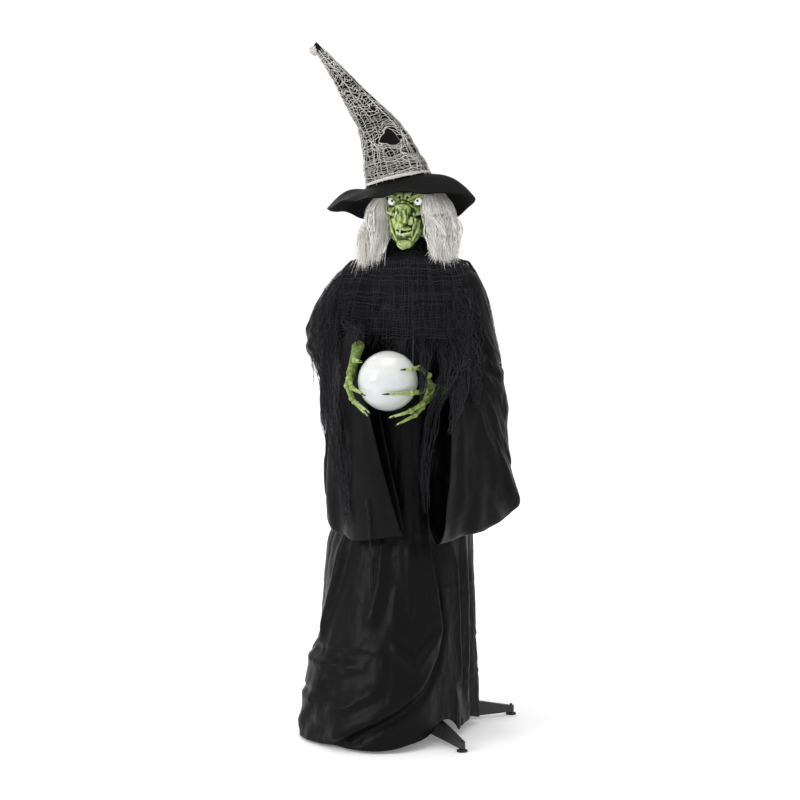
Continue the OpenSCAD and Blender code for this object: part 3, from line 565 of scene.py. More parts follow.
def stroke(F, X, org, h, pts, r0, r1, carve=False, k=2.2, both=True):
    """A raised fold or a carved crease drawn on the front of the face through (x, z) points."""
    org = np.asarray(org, float)
    for sx in ((1, -1) if both else (1,)):
        P3 = []
        for i, (x, z) in enumerate(pts):
            r = r0 + (r1 - r0) * i / max(1, len(pts) - 1)
            P3.append((np.array([sx * x, skin_y(F, org, h, sx * x, z) + (-0.25 if carve else 0.3) * r, z]), r))
        for (a, ra), (b, rb) in zip(P3[:-1], P3[1:]):
            m = max(ra, rb) + k + 3
            i0 = np.maximum(0, np.floor((np.minimum(a, b) - m - org) / h).astype(int))
            i1 = np.ceil((np.maximum(a, b) + m - org) / h).astype(int) + 1
            sl = tuple(slice(u, v) for u, v in zip(i0, i1))
            sub = sd_cap(X[sl], a, b, ra, rb)
            F[sl] = smax(F[sl], -sub, k) if carve else smin(F[sl], sub, k)


def build_face():
    h = 1.25
    X, org = field_grid((-70, -156, 1266), (70, 74, 1470), h)
    Q = X.copy()
    Q[..., 0] = np.abs(Q[..., 0])
    F = sd_ell(X, (0, -22, 1385), (60, 80, 76))
    F = smin(F, sd_ell(X, (0, -58, 1336), (39, 42, 52)), 16)
    F = smin(F, sd_ell(X, (0, -62, 1358), (42, 40, 62)), 14)
    F = smin(F, sd_cap(X, (0, -8, 1330), (0, -4, 1284), 20, 20), 12)
    F = smin(F, sd_cap(Q, (7, -103, 1410), (45, -84, 1428), 8.5, 7), 7)
    F = smin(F, sd_cap(Q, (28, -90, 1372), (52, -62, 1380), 10.5, 9), 9)
    F = smax(F, -sd_ell(Q, (33.5, -107, 1398), (14.5, 17, 12.0)), 4)
    # nose with a broad humped bridge and a hooked tip
    F = smin(F, sd_cap(X, (0, -96, 1406), (0, -115, 1374), 10, 19), 8)
    F = smin(F, sd_cap(X, (0, -115, 1374), (-2, -125, 1352), 19, 16), 6)
    F = smin(F, sd_cap(X, (-2, -125, 1352), (-6, -137, 1336), 16, 10), 6)
    F = smin(F, sd_cap(X, (-6, -137, 1336), (-9, -140, 1328), 9, 5.5), 4)
    F = smin(F, sd_ell(Q, (18, -113, 1347), (9, 12, 11)), 4)
    # muzzle, cheeks, jaw and chin
    F = smin(F, sd_ell(X, (0, -84, 1322), (29, 25, 22)), 9)
    F = smin(F, sd_cap(Q, (24, -99, 1358), (33, -84, 1322), 9, 8), 12)
    F = smin(F, sd_cap(Q, (38, -74, 1352), (25, -84, 1306), 10, 8.5), 10)
    F = smin(F, sd_cap(X, (-41, -66, 1346), (-37, -66, 1322), 9, 8), 10)
    F = smin(F, sd_cap(X, (0, -84, 1304), (0, -104, 1288), 19, 12), 9)
    F = smin(F, sd_cap(Q, (0, -104, 1288), (7, -103, 1288), 12, 11), 6)
    F = smin(F, sd_cap(X, (-2, -110, 1283), (-1, -116, 1287), 9, 6), 6)
    F = smin(F, sd_cap(Q, (11, -90, 1291), (31, -64, 1338), 11, 10), 12)
    # angry brows, lids
    F = smin(F, sd_cap(Q, (11, -107, 1401), (48, -91, 1422), 6.2, 5.2), 3)
    F = smin(F, sd_cap(Q, (17, -105, 1396), (46, -90, 1412), 2.8, 3.2), 2)
    F = smin(F, sd_cap(Q, (21, -99, 1388.0), (45, -86, 1390.5), 3.2, 3), 2.5)
    F = smin(F, sd_cap(Q, (19, -99, 1381), (42, -86, 1377), 4.2, 3.5), 3)
    st = lambda *a, **k: stroke(F, X, org, h, *a, **k)
    st([(0, 1396), (12, 1392), (24, 1382), (37, 1371)], 2.6, 2.2)
    st([(0, 1388), (11, 1385), (20, 1376)], 1.9, 1.5)
    st([(3.5, 1404), (4.5, 1418)], 3.4, 2.8)
    st([(14, 1411), (16, 1424)], 3.2, 2.6)
    st([(27, 1364), (48, 1370)], 5.0, 4.5, k=3)
    st([(29, 1352), (24, 1330), (20, 1308)], 3.4, 2.6, k=3.5)
    st([(38, 1346), (32, 1320), (20, 1297)], 3.0, 2.6, k=4)
    st([(-14, 1368), (-17, 1355), (-15, 1344)], 3.2, 3.6, k=3, both=False)
    st([(5, 1372), (9, 1358), (8, 1345)], 3.0, 2.4, k=3, both=False)
    st([(24, 1379), (33, 1364), (27, 1350), (18, 1334)], 2.6, 3.2, True, k=2)
    st([(9.5, 1406), (10.5, 1424)], 1.7, 1.9, True, k=2)
    st([(21, 1414), (23, 1426)], 1.5, 1.7, True, k=2)
    st([(22, 1391.5), (25, 1385)], 1.8, 1.6, True, k=2)
    st([(33, 1357), (49, 1359)], 2.4, 2.0, True, k=3)
    st([(29, 1346), (26, 1322), (23, 1304)], 2.2, 1.6, True, k=2.5)
    st([(-12, 1378), (-8, 1366)], 1.6, 1.3, True, k=2, both=False)
    st([(13, 1378), (12, 1364)], 1.9, 1.4, True, k=2, both=False)
    st([(0, 1364), (2, 1354)], 1.3, 1.0, True, k=2, both=False)
    st([(17, 1334), (20, 1328)], 3.0, 2.0, True, k=2)
    st([(0, 1301), (13, 1299)], 2.2, 1.6, True, k=3)
    st([(7, 1312), (9, 1304)], 1.5, 1.2, True, k=2.5)
    st([(-9, 1283), (-5, 1281)], 1.8, 1.4, True, k=2, both=False)
    st([(-13, 1290), (-2, 1287), (10, 1291)], 1.6, 1.6, False, k=3, both=False)
    x = X[..., 0]
    # lips and the open mouth
    F = smin(F, sd_cap(Q, (0, -107, 1326), (22, -96, 1328), 3.6, 2.6), 4)
    F = smin(F, sd_cap(Q, (0, -105, 1312), (19, -95, 1317), 4.2, 2.6), 4)
    zc_of = lambda x: 1319.0 + 0.012 * x ** 2
    hh_of = lambda x: 2.4 * np.sqrt(np.clip(1 - (x / 22) ** 2, 0, 1)) + 3.0 * np.exp(-((x + 10) / 6.5) ** 2) - np.where(np.abs(x) > 22, np.abs(x) - 22, 0)
    slit = np.maximum(np.abs(X[..., 2] - zc_of(x)) - hh_of(x), X[..., 1] + 86)
    F = smax(F, -slit, 2.0)
    F = smin(F, sd_ell(X, (15, -102, 1301), (3, 3, 3)), 1.6)
    F = smin(F, sd_ell(X, (-12, -133, 1356), (2.8, 2.8, 2.8)), 1.4)
    tooth = np.minimum(sd_cap(X, (-10, -103, 1327), (-10.5, -105, 1317), 2.8, 2.0), sd_cap(X, (8, -99, 1312), (8.5, -101, 1318.5), 2.4, 1.7))
    band = np.abs(F) < 7
    Pb = X[band]
    front = smooth01((-30 - Pb[:, 1]) / 40)
    up = smooth01((Pb[:, 2] - 1405) / 14)
    fore = ridged(Pb * np.array([0.35, 0.6, 1.0]), 0.11, 3, 1)
    cheek = ridged(Pb * np.array([1.0, 0.8, 0.45]) + fbm(Pb, 0.03, 2, 9)[:, None] * 9, 0.085, 5, 2)
    pores = fbm(Pb, 0.35, 2, 11)
    F[band] += front * (0.9 * up * np.clip(fore, 0, 1) + 1.15 * (1 - up) * np.clip(cheek - 0.25, 0, 1)) + 0.25 * pores
    F = np.minimum(F, tooth)
    V, q = surface_nets(F, org, h)
    # painted shade and highlight: fine creases and broad hollows darkened, ridges lightened, from the field's curvature
    cv = np.clip(0.42 + cavity(F, org, h, V, 3) * 2.1, 0, 1)
    big = np.clip(0.5 + cavity(F, org, h, V, 12) * 6.0, 0, 1)
    cv = np.clip(cv * 0.75 + big * 0.40 - 0.06, 0, 1)
    # painted shade: a dark ring in the eye sockets
    cv *= 1 - 0.5 * np.exp(-(((np.abs(V[:, 0]) - 33.5) / 14) ** 2 + ((V[:, 2] - 1399) / 10) ** 2)) * (V[:, 1] < -60)
    # painted highlight on the chin
    cv += 0.14 * np.exp(-((V[:, 0] / 14) ** 2 + ((V[:, 2] - 1288) / 10) ** 2)) * (V[:, 1] < -90)
    # painted shade: the skin darkens towards the back of the head
    cv *= 1 - 0.75 * smooth01((V[:, 1] + 40) / 25)
    tw = (sample_grid(tooth, org, h, V) < 0.5).astype(float)
    # painted shade: mask of the mouth slit, coloured near-black as the shade inside the open mouth
    mo = (V[:, 1] > -101) * (V[:, 1] < -80) * (np.abs(V[:, 2] - zc_of(V[:, 0])) < hh_of(V[:, 0]) + 1.4) * (np.abs(V[:, 0]) < 22) * (1 - tw)
    o = mesh_obj("face_skin", head_to_world(V), q)
    set_attr(o, "cav", np.clip(cv, 0, 1))
    set_attr(o, "tooth", tw)
    set_attr(o, "mouth", np.clip(mo, 0, 1) * 0.92)
    set_attr(o, "nail", np.zeros(len(V)))
    use(o, "skin")
    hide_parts("mask_front", "jaw_shell", "back_shell")
    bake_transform(o)
    return o


def uv_ball(c, r, nu=40, nv=24, squash=(1, 1, 1)):
    th = np.linspace(0, math.pi, nv + 1)[:, None]
    ph = (np.arange(nu) * 2 * math.pi / nu)[None, :]
    P = np.stack([np.sin(th) * np.cos(ph), np.sin(th) * np.sin(ph), np.cos(th) * np.ones_like(ph)], -1) * r * np.array(squash) + np.array(c)
    return P.reshape(-1, 3), grid_quads(nv + 1, nu), None


def build_eyes():
    parts, pup = [], []
    for s in (-1, 1):
        V, q, t = uv_ball((s * 33.5, -91, 1398.5), 11.2)
        parts.append((head_to_world(V), q, t))
        d = np.array([0.16, -1.0, 0.0])
        d /= np.linalg.norm(d)
        c = np.array([s * 33.5, -91, 1398.5]) + d * 9.4
        V, q, t = uv_ball(c, 3.5, 20, 12, (1, 1, 1))
        pup.append((head_to_world(V), q, t))
    o = mesh_obj("eye_lenses", *join_parts(parts))
    use(o, "eye")
    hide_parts("eyes")
    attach(o, "head")
    p = mesh_obj("eye_pupils", *join_parts(pup))
    use(p, "pupil")
    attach(p, "head")


build_face()
build_eyes()


# ---------------------------------------------------------------- hair
def hair_side(name, guides, ends, node, n_clump, per, seed, centre=(0, -30)):
    """guides: (k, 4, 3) mm control curves front to back; ends: range of tip heights."""
    rng = np.random.default_rng(seed)
    G = np.asarray(guides, float)
    m = 16
    paths, rad, tone = [], [], []
    for c in range(n_clump):
        s = rng.uniform(0, 1) * (len(G) - 1)
        i = min(int(s), len(G) - 2)
        f = s - i
        base = G[i] * (1 - f) + G[i + 1] * f
        base = base + rng.normal(0, 1, (4, 3)) * np.array([[2, 2, 1], [7, 7, 2], [9, 8, 3], [9, 8, 4]])
        zend = rng.uniform(*ends)
        k = np.clip((zend - base[2, 2]) / (base[3, 2] - base[2, 2] - 1e-6), 0.35, 1.25)
        base[3] = base[2] + (base[3] - base[2]) * k
        cl_tone = rng.uniform(0.25, 0.95)
        wav = rng.uniform(0, 6.28, 3)
        for j in range(per):
            off = rng.normal(0, 1, 3) * np.array([1, 1, 0.4])
            ctrl = base + off * np.array([[3.2], [5.0], [5.5], [rng.choice([1.2, 3.0, 8.0])]])
            ctrl[3, 2] += rng.normal(0, 9)
            p = crom(ctrl, m)
            t = np.linspace(0, 1, m)
            p[:, 0] += 2.2 * t * np.sin(t * 9 + wav[0]) + 1.7 * np.sin(t * 23 + rng.uniform(0, 6.28)) * t
            p[:, 1] += 2.0 * t * np.sin(t * 8 + wav[1]) + 1.7 * np.cos(t * 21 + rng.uniform(0, 6.28)) * t
            paths.append(p * MM)
            rad.append(np.interp(t, [0, 0.1, 0.8, 1], [0.5, 0.85, 0.75, 0.2]) * rng.uniform(0.65, 1.15) * MM)
            tn = cl_tone + rng.normal(0, 0.13)
            # painted shade: each strand is darker towards its root
            tone.append(np.clip(tn - 0.25 * (1 - t) ** 2 + 0.05 * rng.normal(0, 1, m), 0, 1))
    V, q, t = tubes(paths, rad, 3)
    tn_all = np.repeat(np.array(tone).ravel(), 3)
    # matted core of the lock, so that no light shows through
    m2, nu2 = 40, 48
    C = np.stack([crom(g, m2) for g in G], 1)
    mid = C.mean(1)
    a = np.linspace(0, 2 * math.pi, nu2, endpoint=False)
    col = np.interp(np.abs((a / math.pi + 0) % 2 - 1), [0, 1], [0, len(G) - 1])
    i0 = np.clip(np.floor(col).astype(int), 0, len(G) - 2)
    fr = (col - i0)[None, :, None]
    ring = C[:, i0] * (1 - fr) + C[:, i0 + 1] * fr
    out = mid - np.array([0, -20, 0])
    nrm = ring - np.stack([np.full(m2, float(centre[0])), np.full(m2, float(centre[1])), mid[:, 2]], -1)[:, None]
    nrm[..., 2] = 0
    nrm /= np.linalg.norm(nrm, axis=2, keepdims=True) + 1e-9
    tt_ = np.linspace(0, 1, m2)[:, None, None]
    thick = 11 * np.sin(np.pi * np.clip(tt_ * 0.86 + 0.12, 0, 1)) ** 0.7
    side = np.where(a < math.pi, 1.0, -1.0)[None, :, None] * np.abs(np.sin(a))[None, :, None] ** 0.5
    ring = mid[:, None] + (ring - mid[:, None]) * (0.88 - 0.25 * tt_ ** 3) + nrm * side * thick
    ring[..., 2] = mid[:, None, 2] + (ring[..., 2] - mid[:, None, 2]) * 0.9 + 14 * tt_[..., 0] ** 3
    q3 = ring.reshape(-1, 3)
    str_ = fbm(q3 * np.array([1, 1, 0.08]), 0.16, 3, seed + 40).reshape(m2, nu2)
    ring += nrm * (3.0 * str_[..., None])
    kk = len(V)
    V = np.concatenate([V, ring.reshape(-1, 3) * MM])
    q = np.concatenate([q, grid_quads(m2, nu2) + kk])
    tn_all = np.concatenate([tn_all, np.clip(0.5 + 0.5 * str_, 0, 1).ravel()])
    o = mesh_obj(name, V, q, t)
    set_attr(o, "tone", tn_all)
    use(o, "hair")
    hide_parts(node)
    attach(o, "head")
    return o


hair_side("wig_locks_right", [
    [(-46, -92, 1420), (-52, -98, 1370), (-55, -99, 1318), (-66, -98, 1240)],
    [(-56, -78, 1420), (-68, -86, 1370), (-77, -90, 1310), (-92, -88, 1222)],
    [(-64, -52, 1418), (-82, -62, 1368), (-96, -66, 1305), (-116, -66, 1222)],
    [(-66, -20, 1416), (-88, -30, 1366), (-102, -36, 1302), (-118, -44, 1232)],
    [(-60, 20, 1412), (-80, 22, 1362), (-90, 18, 1310), (-98, 8, 1258)]], (1216, 1266), "wig_right", 80, 26, 5)
hair_side("wig_locks_left", [
    [(62, -74, 1420), (74, -84, 1370), (82, -88, 1318), (88, -86, 1258)],
    [(68, -58, 1420), (86, -70, 1368), (96, -74, 1312), (103, -72, 1240)],
    [(72, -30, 1424), (98, -44, 1372), (110, -48, 1310), (116, -48, 1244)],
    [(72, 0, 1424), (99, -12, 1376), (113, -18, 1318), (114, -22, 1256)],
    [(66, 34, 1420), (89, 30, 1370), (97, 26, 1318), (94, 18, 1268)]], (1236, 1288), "wig_left", 80, 26, 6)


hair_side("wig_back_right", [
    [(-60, 26, 1416), (-74, 34, 1366), (-80, 32, 1312), (-80, 22, 1262)],
    [(-40, 50, 1416), (-50, 62, 1366), (-54, 60, 1312), (-54, 50, 1264)],
    [(-2, 58, 1416), (-2, 74, 1366), (-2, 72, 1312), (-2, 62, 1266)]], (1262, 1290), "wig_right", 34, 22, 8, (0, 0))
hair_side("wig_back_left", [
    [(62, 36, 1418), (76, 36, 1366), (82, 32, 1312), (80, 22, 1268)],
    [(42, 50, 1416), (52, 62, 1366), (56, 60, 1312), (54, 50, 1266)],
    [(4, 58, 1416), (4, 74, 1366), (4, 72, 1312), (4, 62, 1268)]], (1264, 1292), "wig_left", 34, 22, 9, (0, 0))


# ---------------------------------------------------------------- globe and hands
GC = np.array([21.0, -240.0, 945.0])


def gv(a, b, d):
    return GC + a * np.array([0.94, 0.342, 0]) + b * np.array([-0.03, 0.085, 0.996]) + d * np.array([0.341, -0.936, 0.09])


def build_globe():
    nv, nu = 96, 128
    th = np.linspace(0, math.pi, nv + 1)
    th = np.maximum(th, 0.235)
    prof = [(76.2 * math.sin(t), 76.2 * math.cos(t)) for t in th]
    P = []
    for r, z in prof:
        lat = abs(z)
        rr = r + (0.35 * math.exp(-(z / 0.9) ** 2))
        P.append((rr, z))
    P = [(17.9, 70.0)] + P
    ph = np.arange(nu) * 2 * math.pi / nu
    V = np.array([[(r * math.cos(a), r * math.sin(a), z) for a in ph] for r, z in P])
    o = mesh_obj("globe_shell", V.reshape(-1, 3) * MM, grid_quads(len(P), nu))
    o.rotation_euler = (math.radians(-90), 0, 0)
    o.location = GC * MM
    bpy.context.view_layer.update()
    W = o.matrix_world.copy()
    o.data.transform(Matrix.Translation(-Vector(GC * MM)) @ W)
    o.matrix_world = Matrix.Translation(Vector(GC * MM))
    use(o, "globe")
    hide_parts("globe")
    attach(o, "arms")
    # ring nut where the globe screws to its lamp base
    prof = [(17.0, 64), (20.5, 65), (21.5, 67.5), (21.5, 78), (20.2, 79.5), (17.4, 79.5), (16.8, 78), (16.6, 66)]
    ph = np.arange(60) * 2 * math.pi / 60
    V = np.array([[((r + (0.45 * (k % 2) if r > 21 else 0)) * math.cos(a), z, -(r + (0.45 * (k % 2) if r > 21 else 0)) * math.sin(a)) for k, a in enumerate(ph)] for r, z in prof + prof[:1]])
    n = mesh_obj("globe_collar", (V.reshape(-1, 3) + GC) * MM, grid_quads(len(prof) + 1, 60), smooth=False)
    use(n, "plastic")
    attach(n, "arms")


def build_hand(name, node, palm, fingers, wrist, lo, hi, seed):
    h = 1.15
    X, org = field_grid(lo, hi, h)
    F = np.full(X.shape[:3], 1e3, np.float32)
    for a, b, ra, rb in palm:
        F = smin(F, sd_cap(X, a, b, ra, rb), 7)
    nails = np.full_like(F, 1e3)
    for pts, rs in fingers:
        G = None
        for k in range(len(pts) - 1):
            a, b = np.asarray(pts[k], float), np.asarray(pts[k + 1], float)
            last = k == len(pts) - 2
            seg = sd_cap(X, a, b, rs[k] * 0.86, rs[k + 1] * (0.86 if not last else 0.62))
            G = seg if G is None else smin(G, seg, 2.0)
            G = smin(G, np.linalg.norm(X - a.astype(np.float32), axis=-1) - rs[k] * 1.1, 3.0)
            if last:
                d = (b - a) / np.linalg.norm(b - a)
                up = (b + a) / 2 - GC
                up /= np.linalg.norm(up)
                na = b - d * 9 + up * rs[k + 1] * 0.35
                nb = b + d * 7 + up * rs[k + 1] * 0.1
                nl = sd_cap(X, na, nb, 2.9, 1.0)
                nails = np.minimum(nails, nl)
        F = smin(F, G, 4.5)
    g = np.linalg.norm(X - GC.astype(np.float32), axis=-1) - 77.4
    F = smax(F, -g, 1.5)
    nails = np.maximum(nails, -g)
    band = np.abs(F) < 5
    Pb = X[band]
    F[band] += 0.75 * np.clip(ridged(Pb, 0.13, seed, 2) - 0.2, 0, 1) + 0.2 * fbm(Pb, 0.4, 2, seed + 3)
    Fa = np.minimum(F, nails)
    V, q = surface_nets(Fa, org, h)
    # painted shade and highlight: creases of the hands darkened and ridges lightened from the curvature; the offset
    # makes the hands paler overall
    cv = np.clip(0.34 + cavity(Fa, org, h, V, 2) * 1.2, 0, 1)
    cv = cv * 0.9 + 0.2
    nw = smooth01((0.7 - sample_grid(nails, org, h, V)) / 0.5 ) * (sample_grid(nails, org, h, V) < sample_grid(F, org, h, V) + 0.4)
    o = mesh_obj(name, V * MM, q)
    set_attr(o, "cav", np.clip(cv, 0, 1))
    set_attr(o, "nail", nw)
    set_attr(o, "tooth", np.zeros(len(V)))
    set_attr(o, "mouth", np.zeros(len(V)))
    use(o, "skin")
    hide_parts(node)
    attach(o, "arms")
    return o


WR_R, WR_L = np.array([136.0, -196, 922]), np.array([-78.0, -186, 1030])
FL = [([gv(101, -2, 0), gv(103, 14, 10), gv(80, 33, 34), gv(35, 27, 78)], [8.4, 7.4, 6.6, 4.6]),
      ([gv(102, -22, 4), gv(94, -26, 28), gv(58, -31, 62), gv(-8, -33, 83)], [8.4, 7.4, 6.6, 4.6]),
      ([gv(98, -40, 2), gv(88, -57, 10), gv(58, -76, 20), gv(6, -92, 22)], [8.2, 7.2, 6.4, 4.4]),
      ([gv(97, -48, -8), gv(88, -66, -8), gv(70, -86, -4), gv(24, -110, -2)], [8.0, 7.0, 6.2, 4.2])]
PL = [(WR_R + np.array([16, 18, 2]), WR_R + np.array([-4, -4, 0]), 14, 13), (WR_R + np.array([-4, -4, 0]), gv(103, -6, 0), 13, 9.5), (WR_R + np.array([-4, -4, -4]), gv(103, -26, 2), 12, 9.5),
      (WR_R + np.array([-4, -4, -8]), gv(100, -46, -6), 12, 9), (gv(102, -6, 0), gv(99, -46, -4), 8, 8)]
FR = [([gv(-93, 26, -18), gv(-99, 6, -2), gv(-90, -18, 16), gv(-58, -35, 58)], [8.2, 7.2, 6.4, 4.4]),
      ([gv(-97, 20, -30), gv(-104, -12, -16), gv(-92, -44, -2), gv(-48, -79, 22)], [8.2, 7.2, 6.4, 4.4]),
      ([gv(-92, 16, -44), gv(-98, -20, -36), gv(-86, -52, -26), gv(-52, -88, -10)], [8.0, 7.0, 6.2, 4.2]),
      ([gv(-86, 58, -34), gv(-84, 52, -2), gv(-66, 48, 32)], [8.2, 7.2, 4.6])]
PR = [(WR_L + np.array([-18, 14, 0]), WR_L + np.array([-2, -2, -4]), 13.5, 12.5), (WR_L + np.array([-2, -2, -4]), gv(-93, 30, -22), 12.5, 9.5), (WR_L + np.array([-2, -2, -4]), gv(-96, 22, -34), 12, 9),
      (WR_L, gv(-91, 20, -46), 12, 9), (gv(-93, 28, -20), gv(-92, 20, -46), 8, 8)]
build_globe()
build_hand("hand_skin_left", "hand_left", PL, FL, WR_R, (0, -345, 815), (170, -165, 1000), 21)
build_hand("hand_skin_right", "hand_right", PR, FR, WR_L, (-118, -330, 845), (10, -150, 1062), 22)


# ---------------------------------------------------------------- hat
HAT = np.array([[-40, 5, 1452, 85, 13], [-49, 8, 1480, 80.5, 13], [-60, 11, 1505, 75, 13], [-81, 16, 1554, 63.5, 14.1], [-108, 22, 1601, 51, 15.6], [-144, 27, 1644, 41.1, 17],
                [-181, 33, 1687, 30.8, 18], [-218, 39, 1730, 21.5, 20], [-255, 44, 1771, 13.2, 27], [-279, 48, 1797, 10, 40], [-292, 50, 1813, 7.5, 62]], float)


def hat_frame(s):
    """s 0..1 from base to tip: centre, radius, tilt."""
    s = np.clip(s, 0, 1) * (len(HAT) - 1)
    i = np.clip(np.floor(s).astype(int), 0, len(HAT) - 2)
    f = (s - i)[..., None]
    p0, p1, p2, p3 = HAT[np.maximum(i - 1, 0)], HAT[i], HAT[i + 1], HAT[np.minimum(i + 2, len(HAT) - 1)]
    return 0.5 * (2 * p1 + (p2 - p0) * f + (2 * p0 - 5 * p1 + 4 * p2 - p3) * f ** 2 + (3 * p1 - 3 * p2 + p3 - p0) * f ** 3)


def hat_surf(s, th, off):
    """Point on the hat crown in mm; off is the distance outwards."""
    s, th = np.asarray(s, float), np.asarray(th, float)
    w = hat_frame(s)
    q = np.stack([np.cos(th) * 2.2, np.sin(th) * 2.2, s * 9], -1).reshape(-1, 3)
    crease = (ridged(q * np.array([1, 1, 1.6]), 0.9, 41, 2).reshape(s.shape))
    soft = fbm(q, 0.6, 2, 43).reshape(s.shape)
    damp = smooth01((1 - s) / 0.15) * (0.35 + 0.65 * smooth01(s / 0.08))
    r = w[..., 3] * (1 + 0.05 * soft * damp) - 3.2 * np.clip(crease, 0, 1) * damp * np.clip(w[..., 3] / 50, 0.25, 1) + off
    ti = np.radians(w[..., 4])
    return np.stack([w[..., 0] + r * np.cos(th) * np.cos(ti), w[..., 1] + r * np.sin(th), w[..., 2] + r * np.cos(th) * np.sin(ti)], -1)


def build_hat():
    nv, nu = ((150, 160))
    s = np.linspace(1, 0, nv)[:, None] * np.ones((1, nu))
    th = np.ones((nv, 1)) * (np.arange(nu) * 2 * math.pi / nu)[None, :]
    outer = hat_surf(s, th, 0.0)
    inner = hat_surf(s[::-1], th, -2.0)
    tip = outer[:1] * 0 + outer[:1].mean(1, keepdims=True) + np.array([-2, 0, 2.5])
    V = np.concatenate([tip, outer, inner], 0)
    o = mesh_obj("hat_crown", V.reshape(-1, 3) * MM, grid_quads(len(V), nu))
    use(o, "hat")
    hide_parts("hat_cone")
    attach(o, "head")
    # brim
    B = np.array([[0, 208, 1404], [10, 203, 1400], [20, 194, 1390], [35, 178, 1372], [48, 164, 1361], [60, 154, 1358], [85, 148, 1364], [110, 152, 1362], [130, 160, 1352], [150, 168, 1352], [165, 178, 1368], [180, 190, 1380],
                  [192, 190, 1382], [205, 180, 1384], [225, 166, 1389], [245, 158, 1402], [270, 156, 1414], [300, 166, 1417], [320, 178, 1421], [340, 196, 1428], [352, 205, 1415], [360, 208, 1404]], float)
    nu, nr = ((216, 26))
    a = np.arange(nu) * 360 / nu
    r1, z1 = np.interp(a, B[:, 0], B[:, 1]), np.interp(a, B[:, 0], B[:, 2])
    k = np.hanning(9)
    k /= k.sum()
    pad = lambda v: np.convolve(np.concatenate([v[-4 * nu // 72 - 4:], v, v[:4 * nu // 72 + 4]]), k, "same")[4 * nu // 72 + 4:][:nu]
    r1, z1 = pad(r1), pad(z1)
    t = np.linspace(0, 1, nr)[:, None]
    rad = np.radians(a)[None, :]
    z0 = 1450 + 84 * np.cos(rad) * math.sin(math.radians(13))
    r = 83 + (r1[None, :] - 83) * t
    wob = 5.5 * t ** 1.5 * np.sin(rad * 5 + 0.7) + 3.0 * t ** 2 * np.sin(rad * 11 + 2.0)
    da = (a[None, :] + 180) % 360 - 180
    ex = 0.8 + 1.7 * np.exp(-(da / 36) ** 2)
    db = (a[None, :] - 182 + 180) % 360 - 180
    z = z0 + (z1[None, :] - z0) * t ** ex + wob + 26 * np.exp(-(db / 30) ** 2) * np.sin(np.pi * t ** 1.1)
    P = np.stack([-40 + r * np.cos(rad), 5 + r * np.sin(rad), z], -1)
    P[..., 2] += 1.2 * fbm(P.reshape(-1, 3), 0.03, 3, 47).reshape(P.shape[:2]) * t
    top = P.copy()
    bot = P[::-1].copy()
    bot[..., 2] -= 3.2
    edge = (top[-1:] + bot[:1]) / 2
    edge[..., :2] += (edge[..., :2] - np.array([-40, 5])) * 0.008
    V = np.concatenate([top, edge, bot, top[:1]], 0)
    o = mesh_obj("hat_brim_cloth", V.reshape(-1, 3) * MM, grid_quads(len(V), nu))
    use(o, "hat")
    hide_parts("hat_brim")
    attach(o, "head")


build_hat()


# ---------------------------------------------------------------- open nets of thread
def net_threads(S, lines, chunk=8, rad=0.7, jitter=0.35, keep=None, seed=1, tone=(0.3, 0.95), sides=3, fray=0.0):
    """S(u, v) gives mm points; lines is a list of (u array, v array). Returns tube parts and tones."""
    rng = np.random.default_rng(seed)
    paths, rads, tones = [], [], []
    for u, v in lines:
        k = np.ones(len(u), bool) if keep is None else keep(u, v)
        P = S(u, v)
        base_t = rng.uniform(*tone)
        base_r = rad * rng.uniform(1 - jitter, 1 + jitter * 1.4)
        for i in range(0, len(u) - 1, chunk - 1):
            e = min(i + chunk, len(u))
            if e - i < chunk or not k[i:e].all():
                if e - i >= 3 and k[i] and rng.uniform() < fray and e - i == chunk:
                    p = P[i:e].copy()
                    p += np.linspace(0, 1, chunk)[:, None] ** 2 * rng.normal(0, 4, 3)
                    paths.append(p)
                    rads.append(np.linspace(base_r, 0.15, chunk))
                    tones.append(np.full(chunk, base_t))
                continue
            paths.append(P[i:e])
            rads.append(np.full(chunk, base_r))
            tones.append(np.clip(base_t + rng.normal(0, 0.06) + np.zeros(chunk), 0, 1))
    V, q, t = tubes(np.array(paths) * MM, np.array(rads) * MM, sides)
    return (V, q, t), np.repeat(np.array(tones).ravel(), sides)


def nets_to_obj(name, parts, mat, body, nodes=()):
    V, q, t = join_parts([p for p, _ in parts])
    o = mesh_obj(name, V, q, t)
    set_attr(o, "tone", np.concatenate([x for _, x in parts]))
    use(o, mat)
    if nodes:
        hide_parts(*nodes)
    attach(o, body)
    return o


HOLES = [(0.300, -0.98, 0.040, 0.37), (0.62, -1.5, 0.02, 0.13), (0.50, 1.1, 0.05, 0.3), (0.25, 2.2, 0.05, 0.25), (0.14, -1.9, 0.014, 0.07), (0.47, -0.9, 0.02, 0.12)]


def hat_warp(s, th, amp, seed):
    q = np.stack([np.cos(th) * 2, np.sin(th) * 2, s * 8], -1)
    s2 = s + amp * 0.030 * fbm(q, 1.3, 3, seed) + amp * 0.007 * fbm(q, 5.0, 2, seed + 5)
    t2 = th + amp * 0.20 * fbm(q, 1.2, 3, seed + 9) + amp * 0.035 * fbm(q, 5.0, 2, seed + 13)
    for hs, ht, rs, rt in HOLES:
        ds, dt = s2 - hs, (t2 - ht + math.pi) % (2 * math.pi) - math.pi
        ang = np.arctan2(ds / rs, dt / rt)
        d = (np.abs(ds / rs) ** 1.25 + np.abs(dt / rt) ** 1.25) ** 0.8 * (1 + 0.16 * np.sin(3 * ang + 0.9) + 0.07 * np.sin(7 * ang + hs * 40)) + 1e-6
        push = np.where(d < 2.2, (np.maximum(d, 0.95) + (2.2 - np.maximum(d, 0.95)) * 0.30 * (d < 2.2)) / d, 1)
        push = np.where(d < 1.0, 1.25 / d, push)
        push = np.clip(push, 1, 12)
        s2, t2 = hs + ds * push, t2 - dt + dt * push
    return s2, t2


